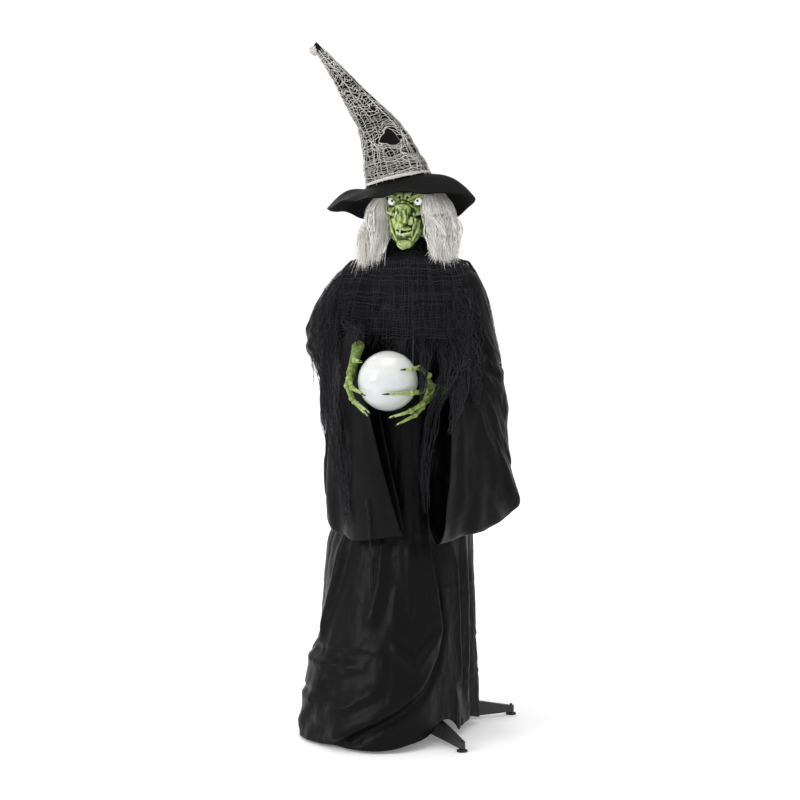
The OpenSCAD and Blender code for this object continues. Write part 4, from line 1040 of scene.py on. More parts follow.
def build_hat_gauze():
    parts = []
    n1 = 1
    for layer, (nh_, nv_, rad, amp, off, seed) in enumerate([(56, 42, 0.72, 0.9, 1.6, 51), (22, 15, 0.75, 1.7, 3.0, 71)]):
        rng = np.random.default_rng(seed)

        def S(u, v, off=off, seed=seed, amp=amp):
            s2, t2 = hat_warp(u, v, amp, seed)
            q = np.stack([np.cos(t2) * 2, np.sin(t2) * 2, s2 * 8], -1)
            return hat_surf(np.clip(s2, 0.004, 0.93), t2, off + 1.1 * fbm(q, 3, 2, seed + 3))
        lines = []
        for k in range(nh_):
            s0 = 0.01 + 0.88 * max(0.0, (k + rng.uniform(-0.3, 0.3)) / nh_) ** 0.97
            n = int(150 * (1 - s0) + 24)
            lines.append((np.full(n, s0), np.linspace(0, 2 * math.pi, n)))
        for k in range(nv_):
            t0 = (k + rng.uniform(-0.3, 0.3)) * 2 * math.pi / nv_
            top = [0.92, 0.30, 0.60, 0.36][k % 4]
            n = int(150 * top)
            ss = np.linspace(-0.0, top, n)
            lines.append((ss, t0 + 0.25 * fbm(np.stack([ss * 3, ss * 0 + t0, ss * 0], -1), 1, 2, seed + k) * 0.4))
        parts.append(net_threads(S, lines, 8, rad, 0.35, None, seed + 1, (0.35, 0.95)))
    # bunched cords at the base and the torn lower edge
    rng = np.random.default_rng(88)

    def S2(u, v):
        q = np.stack([np.cos(v) * 3, np.sin(v) * 3, u * 60], -1)
        return hat_surf(np.clip(u, 0.0, 0.3), v, 2.6 + 1.5 * fbm(q, 2.5, 2, 5)) + np.stack([u * 0, u * 0, np.minimum(u, 0) * 420], -1)
    lines = []
    for k in range(9):
        v = np.linspace(0, 2 * math.pi, 180)
        q = np.stack([np.cos(v) * 2, np.sin(v) * 2, v * 0 + k * 3.3], -1)
        lines.append((0.004 + 0.030 * (k / 9) + 0.010 * fbm(q, 1.4, 3, 90 + k), v + k * 0.4))
    parts.append(net_threads(S2, lines, 8, 1.15, 0.3, None, 91, (0.55, 1.0)))
    lines = []
    for k in range(120):
        v0 = rng.uniform(0, 2 * math.pi)
        ln = rng.uniform(0.01, 0.035)
        uu = np.linspace(0.02, 0.02 - ln, 8)
        lines.append((uu, v0 + np.linspace(0, rng.normal(0, 0.05), 8)))
    parts.append(net_threads(S2, lines, 8, 0.6, 0.3, None, 92, (0.4, 1.0)))
    # knot of thread at the tip
    lines, rngk = [], np.random.default_rng(93)
    P = []
    for k in range(44):
        a = rngk.normal(0, 1, 3)
        b = rngk.normal(0, 1, 3)
        a /= np.linalg.norm(a)
        b -= a * (a @ b)
        b /= np.linalg.norm(b)
        t = np.linspace(0, 5.5, 14)[:, None]
        r = rngk.uniform(9, 15)
        P.append(np.array([-293, 47.5, 1797]) + r * (np.cos(t) * a + np.sin(t) * b) * np.array([1.0, 0.9, 0.9]))
    V, q, t = tubes(np.array(P) * MM, np.full((44, 14), 0.8 * MM), 3)
    parts.append(((V, q, t), np.repeat(rngk.uniform(0.6, 1.0, 44), 14 * 3)))
    nets_to_obj("hat_gauze_net", parts, "cream", "head", ("hat_gauze",))


build_hat_gauze()


# ---------------------------------------------------------------- robe
ROBE = np.array([
    [1250, 58, 58, 58, 56], [1243, 95, 100, 74, 72], [1232, 135, 146, 88, 86], [1208, 156, 164, 98, 94], [1150, 158, 166, 106, 100],
    [1050, 154, 158, 116, 108], [950, 150, 150, 128, 118], [850, 149, 149, 138, 130], [750, 150, 154, 146, 138], [650, 154, 162, 155, 148],
    [600, 155, 182, 160, 152], [560, 156, 212, 164, 158], [520, 157, 233, 170, 164], [490, 157, 240, 184, 172], [420, 158, 244, 206, 182], [350, 159, 243, 228, 192],
    [270, 159, 242, 258, 206], [245, 159, 248, 266, 212], [220, 159, 262, 274, 220], [190, 160, 267, 282, 228], [140, 160, 272, 300, 242], [89, 159, 275, 313, 256],
    [0, 157, 276, 327, 272]], float)


def poly_dist(a, z, pts):
    """Distance and side of points (a, z) to a polyline, both in mm."""
    best = np.full(a.shape, 1e9)
    side = np.zeros(a.shape)
    along = np.zeros(a.shape)
    for k in range(len(pts) - 1):
        (x0, y0), (x1, y1) = pts[k], pts[k + 1]
        dx, dy = x1 - x0, y1 - y0
        L = math.hypot(dx, dy)
        t = np.clip(((a - x0) * dx + (z - y0) * dy) / (L * L), 0, 1)
        ex, ey = a - (x0 + t * dx), z - (y0 + t * dy)
        d = np.hypot(ex, ey)
        m = d < best
        best = np.where(m, d, best)
        side = np.where(m, np.sign(ex * dy - ey * dx), side)
        along = np.where(m, (k + t) / (len(pts) - 1), along)
    return best, side, along


RIDGES = [  # (theta deg, z) polyline, height, width on the far side, width on the near side
    ([(-57, 620), (-51, 420), (-47.5, 300), (-53, 235), (-65, 163), (-80, 112), (-103, 42), (-120, 8)], 19, 64, 8),
    ([(-85, 283), (-68, 216), (-51, 290)], 11, 16, 8),
    ([(-165, 222), (-130, 208), (-97, 212)], 8, 16, 9),
    ([(-158, 118), (-126, 112), (-98, 118)], 5, 14, 7),
    ([(-136, 560), (-134, 430), (-138, 262)], 9, 26, 12),
    ([(-96, 560), (-94, 430), (-100, 300)], 7, 24, 16),
    ([(-73, 560), (-70, 420), (-72, 330)], 6, 20, 12),
    ([(-24, 520), (-22, 330), (-24, 110)], 8, 18, 11), ([(-6, 520), (-2, 300), (-8, 90)], 6, 20, 14),
    ([(-120, 200), (-128, 110), (-140, 20)], 7, 26, 14), ([(-84, 176), (-104, 110), (-126, 60)], 8, 22, 10),
    ([(100, 700), (96, 300), (104, 20)], 14, 30, 16), ([(60, 650), (58, 260), (66, 40)], 12, 26, 14), ([(140, 700), (146, 280), (140, 20)], 15, 34, 16),
    ([(80, 560), (84, 260), (80, 20)], 9, 20, 14), ([(120, 560), (122, 260), (126, 20)], 10, 22, 12), ([(168, 620), (166, 280), (170, 20)], 13, 28, 14),
    ([(34, 600), (36, 300), (30, 70)], 9, 22, 13),
]


def robe_hem(th):
    """Height of the hem: near the floor, lifted over the two legs on the figure's left."""
    h = 7 + 3 * np.sin(3 * th + 1)
    for c, hh, w in ((-45, 54, 15), (45, 52, 15)):
        d = (np.degrees(th) - c + 180) % 360 - 180
        h = np.maximum(h, hh * np.exp(-(np.abs(d) / w) ** 2.4) + 7)
    d = (np.degrees(th) + 180) % 360 - 180
    h = h + 15 * np.exp(-((d + 69) / 12) ** 2)
    h = np.maximum(h, 26 * np.exp(-(d / 32) ** 4) + 7)
    return h


def robe_base(th, z):
    k = np.argsort(ROBE[:, 0])
    Z = ROBE[k, 0]
    xr, xl, fr, bk = [np.interp(z, Z, ROBE[k, c]) for c in (1, 2, 3, 4)]
    c, s = np.cos(th), np.sin(th)
    a = np.where(c > 0, xr, xl)
    b = np.where(s < 0, fr, bk)
    e = 2.0 + 0.45 * smooth01((500 - z) / 400) * np.where(c > 0, 0.25, 1.0)
    r = ((np.abs(c) / a) ** e + (np.abs(s) / b) ** e) ** (-1 / e)
    return r


def robe_pts(TH, Z):
    th, z = TH.ravel(), Z.ravel()
    r = robe_base(th, z)
    q = np.stack([np.cos(th) * 2.2, np.sin(th) * 2.2, z / 420], -1)
    # gathered pleats that open towards the hem
    back = smooth01(0.5 - 0.5 * np.cos(th - math.radians(-70)))
    amp = np.interp(z, [0, 120, 300, 500, 700, 1000, 1120], [9, 8.5, 7.5, 6, 4.5, 2.2, 0]) * (0.45 + 0.9 * back)
    warp = th + 0.20 * fbm(q, 0.9, 2, 11) + 0.05 * fbm(q, 3.0, 2, 12)
    n = 11
    pl = np.abs(np.cos(n * warp / 2 + 0.6)) ** 0.8
    pl2 = np.abs(np.cos(29 * warp / 2 + 2.0 + 0.8 * fbm(q, 1.1, 2, 14))) ** 1.2
    local = 0.55 + 0.75 * smooth01(0.5 + fbm(q, 1.3, 2, 13))
    d = amp * local * (pl - 0.62) + amp * 0.16 * (pl2 - 0.5) * smooth01((950 - z) / 300)
    # soft swells
    d += 5.0 * fbm(q, 2.0, 3, 21) * np.interp(z, [0, 500, 1000, 1200], [1.6, 1.2, 0.8, 0.2])
    # drawn folds
    arc = 270.0
    for pts, hgt, w1, w2 in RIDGES:
        P = [(math.radians(a) * arc, zz) for a, zz in pts]
        for sh in (-2 * math.pi, 0, 2 * math.pi):
            dist, side, al = poly_dist((th + sh) * arc, z, P)
            fade = smooth01(al * 5) * smooth01((1 - al) * 5 + 0.25)
            w = np.where(side > 0, w1, w2)
            d += hgt * fade * (np.exp(-(dist / w) ** 2) - 0.6 * np.exp(-((dist - 2.6 * w2) / (1.5 * w2)) ** 2) * (side < 0))
    # storage creases and small wrinkles
    for zc, am, ph in ((252, 2.4, 0.0), (146, 2.2, 1.3), (398, 1.4, 2.2), (830, 0.9, 0.7)):
        zz = z - zc - 10 * fbm(q, 0.8, 2, 31 + int(zc)) 
        d += am * (np.exp(-(zz / 5.0) ** 2) - 0.6 * np.exp(-((zz + 11) / 8.0) ** 2)) * (0.5 + 0.5 * np.sin(2 * th + ph))
    q2 = np.stack([np.cos(th) * 2.2, np.sin(th) * 2.2, z / 150], -1)
    d += 1.5 * ridged(q2 + 0.25 * np.stack([fbm(q2, 2, 2, 41)] * 3, -1), 3.4, 42) * np.interp(z, [0, 600, 1150, 1200], [1.2, 0.8, 0.8, 0.1])
    d += 0.5 * fbm(np.stack([np.cos(th) * 3, np.sin(th) * 3, z / 60], -1), 6.0, 2, 43)
    # the fold displacement is added in full low down and fades out towards the neck
    r = r + d * np.interp(z, [0, 1195, 1235], [1, 0.6, 0.1])
    return np.stack([r * np.cos(th), r * np.sin(th), z], -1)


def settle(sheets, frames=26, cap=9.0):
    """Let the hanging cloth settle by simulation. Each sheet is (points nv x nu x 3 in mm, hold weights nv x nu, row step, column step)."""
    sc = bpy.context.scene
    f0, f1, fc = sc.frame_start, sc.frame_end, sc.frame_current
    sc.frame_start, sc.frame_end = 1, frames
    tmp, jobs = [], []
    floor = mesh_obj("sim_floor", np.array([(-1, -1, 0), (1, -1, 0), (1, 1, 0), (-1, 1, 0)], float), np.array([(0, 1, 2, 3)]))
    tmp.append(floor)
    for nd in ("legs", "lower_pole"):
        src = bpy.data.objects.get(nd)
        if src is None:
            src = next((o for o in bpy.data.objects if o.name.startswith(nd) or o.get("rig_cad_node") == nd), None)
        if src is not None and src.type == "MESH":
            c = bpy.data.objects.new("sim_" + nd, src.data.copy())
            c.matrix_world = src.matrix_world
            link(c)
            tmp.append(c)
    for o in tmp:
        o.modifiers.new("hit", "COLLISION")
        o.collision.thickness_outer = 0.003
    for P, W, rs, cs in sheets:
        nv, nu = P.shape[:2]
        ri = np.unique(np.concatenate([np.arange(0, nv, rs), [nv - 1]]))
        ci = np.arange(0, nu, cs)
        C = P[np.ix_(ri, ci)] * MM
        o = mesh_obj("sim_sheet", C.reshape(-1, 3), grid_quads(len(ri), len(ci)))
        g = o.vertex_groups.new(name="hold")
        w = W[np.ix_(ri, ci)].ravel()
        for lv in np.unique(np.round(w, 2)):
            g.add([int(i) for i in np.nonzero(np.round(w, 2) == lv)[0]], float(lv), "REPLACE")
        m = o.modifiers.new("cloth", "CLOTH")
        st = m.settings
        st.quality = 6
        st.mass = 0.12
        st.tension_stiffness = st.compression_stiffness = 12
        st.shear_stiffness = 6
        st.bending_stiffness = 3.0
        st.air_damping = 2.0
        st.vertex_group_mass = "hold"
        st.pin_stiffness = 1.0
        m.collision_settings.use_collision = True
        m.collision_settings.distance_min = 0.003
        m.collision_settings.use_self_collision = False
        m.point_cache.frame_start, m.point_cache.frame_end = 1, frames
        tmp.append(o)
        jobs.append((o, C, ri, ci))
    for f in range(1, frames + 1):
        sc.frame_set(f)
    out = []
    dg = bpy.context.evaluated_depsgraph_get()
    for (o, C, ri, ci), (P, W, rs, cs) in zip(jobs, sheets):
        e = o.evaluated_get(dg)
        co = np.empty(len(e.data.vertices) * 3, np.float32)
        e.data.vertices.foreach_get("co", co)
        D = (co.reshape(C.shape).astype(float) - C) / MM
        n = np.linalg.norm(D, axis=2, keepdims=True)
        print("settled", P.shape, "moved mm mean", round(float(n.mean()), 2), "max", round(float(n.max()), 2), flush=True)
        D = D * np.where(n > 1e-6, cap * np.tanh(n / cap) / np.maximum(n, 1e-6), 1.0)
        nv, nu = P.shape[:2]
        rows = np.stack([[np.interp(np.arange(nv), ri, D[:, j, k]) for k in range(3)] for j in range(len(ci))])
        rows = rows.transpose(2, 0, 1)
        full = np.empty((nv, nu, 3))
        x = np.append(ci, nu)
        for k in range(3):
            R = np.concatenate([rows[:, :, k], rows[:, :1, k]], 1)
            j = np.clip(np.searchsorted(x, np.arange(nu), side="right") - 1, 0, len(x) - 2)
            f = (np.arange(nu) - x[j]) / (x[j + 1] - x[j])
            full[:, :, k] = R[:, j] * (1 - f) + R[:, j + 1] * f
        out.append(P + full)
    for o in tmp:
        d = o.data
        bpy.data.objects.remove(o, do_unlink=True)
        if d.users == 0:
            bpy.data.meshes.remove(d)
    sc.frame_start, sc.frame_end = f0, f1
    sc.frame_set(fc)
    return out


def robe_grid():
    nv, nu = ((214, 396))
    th = np.linspace(0, 2 * math.pi, nu, endpoint=False)
    th = th + 0.0
    k = np.linspace(0, 1, nv)
    hem = robe_hem(th)
    zt = np.interp(k, [0, 0.05, 0.12, 1], [1252, 1238, 1206, 0])
    Z = zt[:, None] * np.ones(nu)
    low = smooth01((420 - Z) / 420)
    Z = Z + hem[None, :] * (1 - Z / 1252) ** 1.0 * 1.0 * low ** 0.6
    TH = np.broadcast_to(th, Z.shape)
    P = robe_pts(TH, Z).reshape(nv, nu, 3)
    # rolled hem: the edge turns in and up again
    last = P[-1]
    c = last * np.array([1, 1, 0.0])
    n = c / np.linalg.norm(c, axis=1, keepdims=True)
    extra = [last - n * 1.5 + [0, 0, -1.8], last - n * 3.6 + [0, 0, -1.0], last - n * 4.2 + [0, 0, 4], last - n * 4.0 + [0, 0, 16]]
    P = np.concatenate([P, np.stack(extra)])
    P[:, :, 2] = np.maximum(P[:, :, 2], 1.2)
    return P


def build_robe(P):
    P[:, :, 2] = np.maximum(P[:, :, 2], 1.2)
    nu = P.shape[1]
    o = mesh_obj("robe_cloth_body", P.reshape(-1, 3) * MM, grid_quads(len(P), nu))
    use(o, "robe")
    return o




# ---------------------------------------------------------------- sleeves
SLV_R = [[[-150, -14, 1088], [-144, -14, 1240], [-4, 56, 0]], [[-162, -18, 1050], [-206, -14, 1204], [0, 58, 0]],
         [[-150, -22, 1006], [-264, -8, 1120], [8, 52, 0]], [[-142, -50, 1014], [-290, -4, 1026], [16, 42, 0]],
         [[-147, -80, 1036], [-256, -12, 945], [19, 34, 0]], [[-140, -102, 1052], [-236, -20, 830], [20, 31, 0]],
         [[-132, -122, 1058], [-218, -42, 700], [21, 30, 0]], [[-124, -140, 1063], [-206, -68, 590], [21, 30, 0]],
         [[-114, -156, 1066], [-186, -98, 547], [22, 31, 0]], [[-98, -170, 1069], [-96, -173, 530], [16, 30, 0]],
         [[-85, -181, 1070], [50, -222, 552], [8, 25, 0]]]
SLV_L = [[[150, -14, 1088], [138, -14, 1238], [4, 56, 0]], [[160, -16, 1044], [186, -14, 1200], [0, 56, 0]],
         [[160, -22, 1000], [216, -6, 1105], [-8, 54, 0]], [[182, -60, 982], [240, 0, 985], [-24, 44, 0]],
         [[195, -92, 986], [256, 6, 880], [-27, 40, 0]], [[190, -108, 981], [262, 12, 785], [-30, 38, 0]],
         [[184, -124, 977], [272, 12, 712], [-31, 37, 0]], [[176, -142, 972], [298, 8, 628], [-32, 36, 0]],
         [[166, -162, 967], [270, -30, 584], [-36, 36, 0]], [[155, -180, 962], [202, -116, 552], [-44, 34, 0]],
         [[146, -196, 960], [146, -208, 532], [-52, 36, 0]]]


def sleeve_grid(rows, nv, nu, seed, sgn):
    W = crom(np.array(rows, float), nv)
    t = np.linspace(0, 2 * math.pi, nu, endpoint=False)
    # centre and axes of each ring, from its two end points and side vector
    c = (W[:, 0] + W[:, 1]) / 2
    u = (W[:, 0] - W[:, 1]) / 2
    v = W[:, 2]
    vl = np.linalg.norm(v, axis=1, keepdims=True)
    vh = v / vl
    k = np.linspace(0, 1, nv)[:, None] * np.ones((1, nu))
    T = np.broadcast_to(t, (nv, nu))
    down = 0.5 - 0.5 * np.cos(T)          # 0 at the inner bend, 1 at the lowest point
    q = np.stack([k * 6, down * 3 + 0 * k, np.sign(np.sin(T)) * 0.4 + seed + 0 * k], -1).reshape(-1, 3)
    n1 = fbm(q, 0.9, 3, seed).reshape(nv, nu)
    n2 = fbm(q, 2.4, 3, seed + 3).reshape(nv, nu)
    hang = smooth01((k - 0.30) / 0.14)
    lean = 0.06 * (down - 0.5)
    wave = np.sin(2 * math.pi * (6.4 * (k + lean) + 0.28 * n1) + seed)
    wave = np.sign(wave) * np.abs(wave) ** 0.8
    wave2 = np.sin(2 * math.pi * (13.5 * (k - lean) + 0.5 * n2) + seed * 2)
    A = 9.0 * hang * down ** 1.3
    shift = A * wave + 0.32 * A * wave2
    # both walls swing together, the outer wall a little more
    base = c[:, None] + u[:, None] * np.cos(T)[..., None] + v[:, None] * np.sin(T)[..., None]
    P = base + vh[:, None] * shift[..., None]
    # upper arm: wrinkles squeezed at the elbow and running down from the shoulder
    arm = smooth01((k - 0.05) / 0.1) * (1 - smooth01((k - 0.40) / 0.12))
    d3 = np.stack([np.broadcast_to(np.cos(T), (nv, nu)), np.broadcast_to(np.sin(T), (nv, nu)), k * 7], -1).reshape(-1, 3)
    wr = ridged(d3 * np.array([1.2, 1.2, 1.0]) + 0.3 * np.stack([fbm(d3, 1.5, 2, seed + 8)] * 3, -1), 1.15, seed + 9).reshape(nv, nu)
    fine = fbm(np.stack([np.cos(T) * 3, np.sin(T) * 3, k * 22], -1).reshape(-1, 3), 1.9, 3, seed + 15).reshape(nv, nu)
    elbow = np.exp(-((k - 0.31) / 0.06) ** 2)
    dn = arm * (5.5 * wr) + elbow * 4.0 * np.sin(2 * math.pi * (14 * k + 0.35 * n2) + 3 * np.cos(T)) + 1.3 * fine + 3.5 * n1 * (0.4 + hang)
    nrm = u[:, None] * (np.cos(T) / np.linalg.norm(u, axis=1)[:, None])[..., None] + vh[:, None] * np.sin(T)[..., None]
    nrm /= np.linalg.norm(nrm, axis=2, keepdims=True)
    P = P + nrm * (dn * smooth01(k / 0.08))[..., None]
    # the lowest edge hangs unevenly
    P[..., 2] -= 7 * hang * down ** 4 * (0.5 + n2)
    # hem roll at the mouth
    last, prev = P[-1], P[-2]
    out = (last - prev) / (np.linalg.norm(last - prev, axis=1, keepdims=True) + 1e-9)
    nn = nrm[-1]
    ex = [last + out * 1.6 - nn * 1.2, last + out * 0.6 - nn * 3.0, last - out * 5 - nn * 3.2, last - out * 18 - nn * 3.4]
    P = np.concatenate([P, np.stack(ex)])
    return P


def build_sleeve(name, P, node, sgn):
    nu = P.shape[1]
    q = grid_quads(len(P), nu)
    if sgn < 0:
        q = q[:, ::-1]
    o = mesh_obj(name, P.reshape(-1, 3) * MM, q)
    use(o, "robe")
    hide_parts(node)
    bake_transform(o)
    return o


nvs, nus = ((190, 200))
G0, GR, GL = robe_grid(), sleeve_grid(SLV_R, nvs, nus, 3, 1), sleeve_grid(SLV_L, nvs, nus, 7, -1)


def sleeve_hold(P):
    k = np.linspace(0, 1, len(P))[:, None]
    t = (0.5 - 0.5 * np.cos(np.linspace(0, 2 * math.pi, P.shape[1], endpoint=False)))[None, :]
    free = smooth01((k - 0.32) / 0.15) * smooth01((t - 0.12) / 0.3)
    return 1 - 0.985 * free


G0, GR, GL = settle([(G0, 1 - 0.985 * smooth01((980 - G0[:, :, 2]) / 420), 3, 3), (GR, sleeve_hold(GR), 3, 3), (GL, sleeve_hold(GL), 3, 3)])
robe = build_robe(G0)
sleeve_r = build_sleeve("sleeve_cloth_right", GR, "sleeve_right", 1)
sleeve_l = build_sleeve("sleeve_cloth_left", GL, "sleeve_left", -1)

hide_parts("robe_skirt", "robe_top")
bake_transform(robe)


# ---------------------------------------------------------------- black gauze over the shoulders
SHAWL = np.array([
    [1266, 56, 56, 56, 54], [1258, 78, 80, 70, 66], [1250, 110, 118, 88, 82], [1242, 150, 162, 100, 92], [1216, 168, 188, 108, 98],
    [1190, 182, 204, 112, 102], [1163, 195, 222, 115, 106], [1137, 203, 242, 118, 109], [1111, 209, 256, 121, 112], [1085, 214, 264, 124, 114],
    [1045, 223, 278, 128, 118], [995, 234, 282, 134, 124], [900, 240, 272, 140, 128]], float)


def shawl_pt(z, th, off=0.0, seed=61):
    k = np.argsort(SHAWL[:, 0])
    Z = SHAWL[k, 0]
    xr, xl, fr, bk = [np.interp(z, Z, SHAWL[k, c]) for c in (1, 2, 3, 4)]
    c, s = np.cos(th), np.sin(th)
    a = np.where(c > 0, xr, xl)
    b = np.where(s < 0, fr, bk)
    r = ((np.abs(c) / a) ** 2 + (np.abs(s) / b) ** 2) ** -0.5
    q = np.stack([c * 2, s * 2, z / 120], -1)
    f = 3.2 * np.sin(15 * th + 2.2 * fbm(q, 0.8, 2, seed)) * smooth01((1240 - z) / 160) + 2.4 * fbm(q, 2.2, 3, seed + 2)
    sag = 16 * np.exp(-((np.degrees(th) + 90) / 34) ** 2) * np.sin((1250 - z) / 23.0) * smooth01((1245 - z) / 40) * smooth01((z - 1080) / 60) * 0.35
    r = r + off + f + sag
    return np.stack([r * c, r * s, z + 0 * r], -1)


def shawl_low(th):
    """Torn lower edge, mm."""
    d = np.degrees(th)
    side = np.exp(-((np.abs((d + 180) % 360 - 180) - 180) / 42) ** 2) * 60 + np.exp(-(((d + 180) % 360 - 180) / 42) ** 2) * 70
    q = np.stack([np.cos(th) * 3, np.sin(th) * 3, th * 0], -1)
    return 1040 - side + 46 * fbm(q, 1.6, 4, 64)


def build_shawl():
    parts = []
    for L, (nh_, nv_, rad, off, seed) in enumerate([(80, 200, 0.62, 2.2, 61), (44, 90, 0.85, 4.6, 81)]):
        rng = np.random.default_rng(seed)

        def S(u, v, off=off, seed=seed):
            q = np.stack([np.cos(v) * 3, np.sin(v) * 3, u / 90], -1)
            z = u + 9 * fbm(q, 1.4, 3, seed + 5)
            t = v + 0.05 * fbm(q, 2.2, 3, seed + 6)
            return shawl_pt(np.clip(z, 880, 1266), t, off, seed)

        def keep(u, v, seed=seed):
            q = np.stack([np.cos(v) * 3, np.sin(v) * 3, u / 60], -1)
            return (u > shawl_low(v) + 10 * fbm(q, 3, 2, seed)) & (fbm(q, 1.7, 2, seed + 7) < 0.42 + 0.3 * smooth01((u - 1120) / 60))
        lines = []
        for k in range(nh_):
            z0 = 1262 - 270 * (k + rng.uniform(-0.3, 0.3)) / nh_
            n = 230 if L == 0 else 150
            lines.append((np.full(n, z0), np.linspace(0, 2 * math.pi, n) + rng.uniform(0, 0.1)))
        for k in range(nv_):
            t0 = (k + rng.uniform(-0.35, 0.35)) * 2 * math.pi / nv_
            zz = np.linspace(1262, 925, 58)
            lines.append((zz, t0 + 0.02 * np.sin(zz / 37 + k)))
        parts.append(net_threads(S, lines, 8, rad, 0.35, keep, seed + 1, (0.1, 0.9), 3, 0.35))
    # loose ends along the torn edge
    rng = np.random.default_rng(99)
    paths, tones = [], []
    for k in range(260):
        th = rng.uniform(0, 2 * math.pi)
        z0 = shawl_low(np.array([th]))[0] + rng.uniform(-4, 26)
        ln = rng.uniform(14, 70) * (1.6 if rng.uniform() < 0.2 else 1)
        s = np.linspace(0, 1, 10)
        a = th + 0.10 * rng.normal() * s ** 1.4 + 0.02 * np.sin(s * 9 + k)
        P = shawl_pt(np.maximum(z0 - ln * s, 905), a, 5.0, 61)
        P[:, 2] = z0 - ln * s
        paths.append(P)
        tones.append(rng.uniform(0.1, 0.9))
    V, q, t = tubes(np.array(paths) * MM, np.linspace(0.75, 0.25, 10) * MM, 3)
    parts.append(((V, q, t), np.repeat(tones, 30)))
    nets_to_obj("shawl_net", parts, "gauze", "torso", ("shawl",))


build_shawl()


def build_collar():
    """Bunched gauze around the neck."""
    rng = np.random.default_rng(131)
    parts = []
    lines = []

    def S(u, v):
        # u runs around the roll, v around the neck
        q = np.stack([np.cos(v) * 3, np.sin(v) * 3, np.cos(u) * 0.5], -1)
        rr = 13 + 3.5 * fbm(q, 1.6, 3, 132) + 1.6 * np.sin(17 * v + 2 * fbm(q, 1.2, 2, 133))
        up = np.maximum(np.sin(u), 0)
        dv = (v + math.pi / 2 + math.pi) % (2 * math.pi) - math.pi
        side = 1 - np.exp(-(dv / 0.95) ** 2)
        R = 57 + 9 * side + 2 * np.sin(2 * v) - (15 - 5 * side) * up
        return np.stack([(R + rr * 0.75 * np.cos(u)) * np.cos(v), (R + rr * 0.75 * np.cos(u)) * np.sin(v), 1255 + 3 * side + rr * (1.1 + 2.0 * up * side) * np.sin(u) + 3 * fbm(q, 1.1, 2, 134)], -1)
    for k in range(26):
        n = 120
        v = np.linspace(0, 2 * math.pi, n)
        lines.append((k * 2 * math.pi / 26 + 0.5 * np.sin(v * 2 + k) + v * rng.choice([0, 1, -1]), v))
    for k in range(110):
        n = 24
        u = np.linspace(0, 2 * math.pi, n)
        lines.append((u, k * 2 * math.pi / 110 + 0.06 * np.sin(u * 2 + k) + 0 * u))
    parts.append(net_threads(S, lines, 8, 0.75, 0.35, None, 135, (0.1, 0.9)))
    nets_to_obj("collar_net", parts, "gauze", "torso", ("collar",))
    # the dark roll of cloth inside the net
    nu_, nv_ = 120, 26
    vv = np.linspace(0, 2 * math.pi, nu_, endpoint=False)
    uu = np.linspace(0, 2 * math.pi, nv_, endpoint=False)
    U, W = np.meshgrid(uu, vv, indexing="ij")
    P = S(U.ravel(), W.ravel())
    C = np.stack([57 * np.cos(W.ravel()), 57 * np.sin(W.ravel()), 1262 + 0 * W.ravel()], -1)
    P = C + (P - C) * 0.86
    q = []
    for i in range(nv_):
        for j in range(nu_):
            a, b = i * nu_ + j, i * nu_ + (j + 1) % nu_
            c, d = ((i + 1) % nv_) * nu_ + (j + 1) % nu_, ((i + 1) % nv_) * nu_ + j
            q.append((a, b, c, d))
    o = mesh_obj("collar_roll", P * MM, np.array(q))
    use(o, "robe")
    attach(o, "torso")


build_collar()


# ---------------------------------------------------------------- hanging gauze strands
from mathutils.bvhtree import BVHTree

CAM = np.array([1.88554, -5.27311, 1.4])
AIM = np.array([-0.02977, -0.01084, 0.875])
CF = (AIM - CAM) / np.linalg.norm(AIM - CAM)
CR = np.cross(CF, [0, 0, 1.0])
CR /= np.linalg.norm(CR)
CU = np.cross(CR, CF)


def tree_of(objs):
    V, F, off = [], [], 0
    for o in objs:
        n = len(o.data.vertices)
        co = np.empty(n * 3, np.float32)
        o.data.vertices.foreach_get("co", co)
        V.append(co.reshape(-1, 3))
        for p in o.data.polygons:
            F.append([i + off for i in p.vertices])
        off += n
    return BVHTree.FromPolygons([Vector(v) for v in np.concatenate(V)], F)


def pixel_ray(px, py):
    s = 36.0 / 95.873 / 800.0
    d = CF + CR * (px - 400) * s - CU * (py - 400) * s
    return d / np.linalg.norm(d)


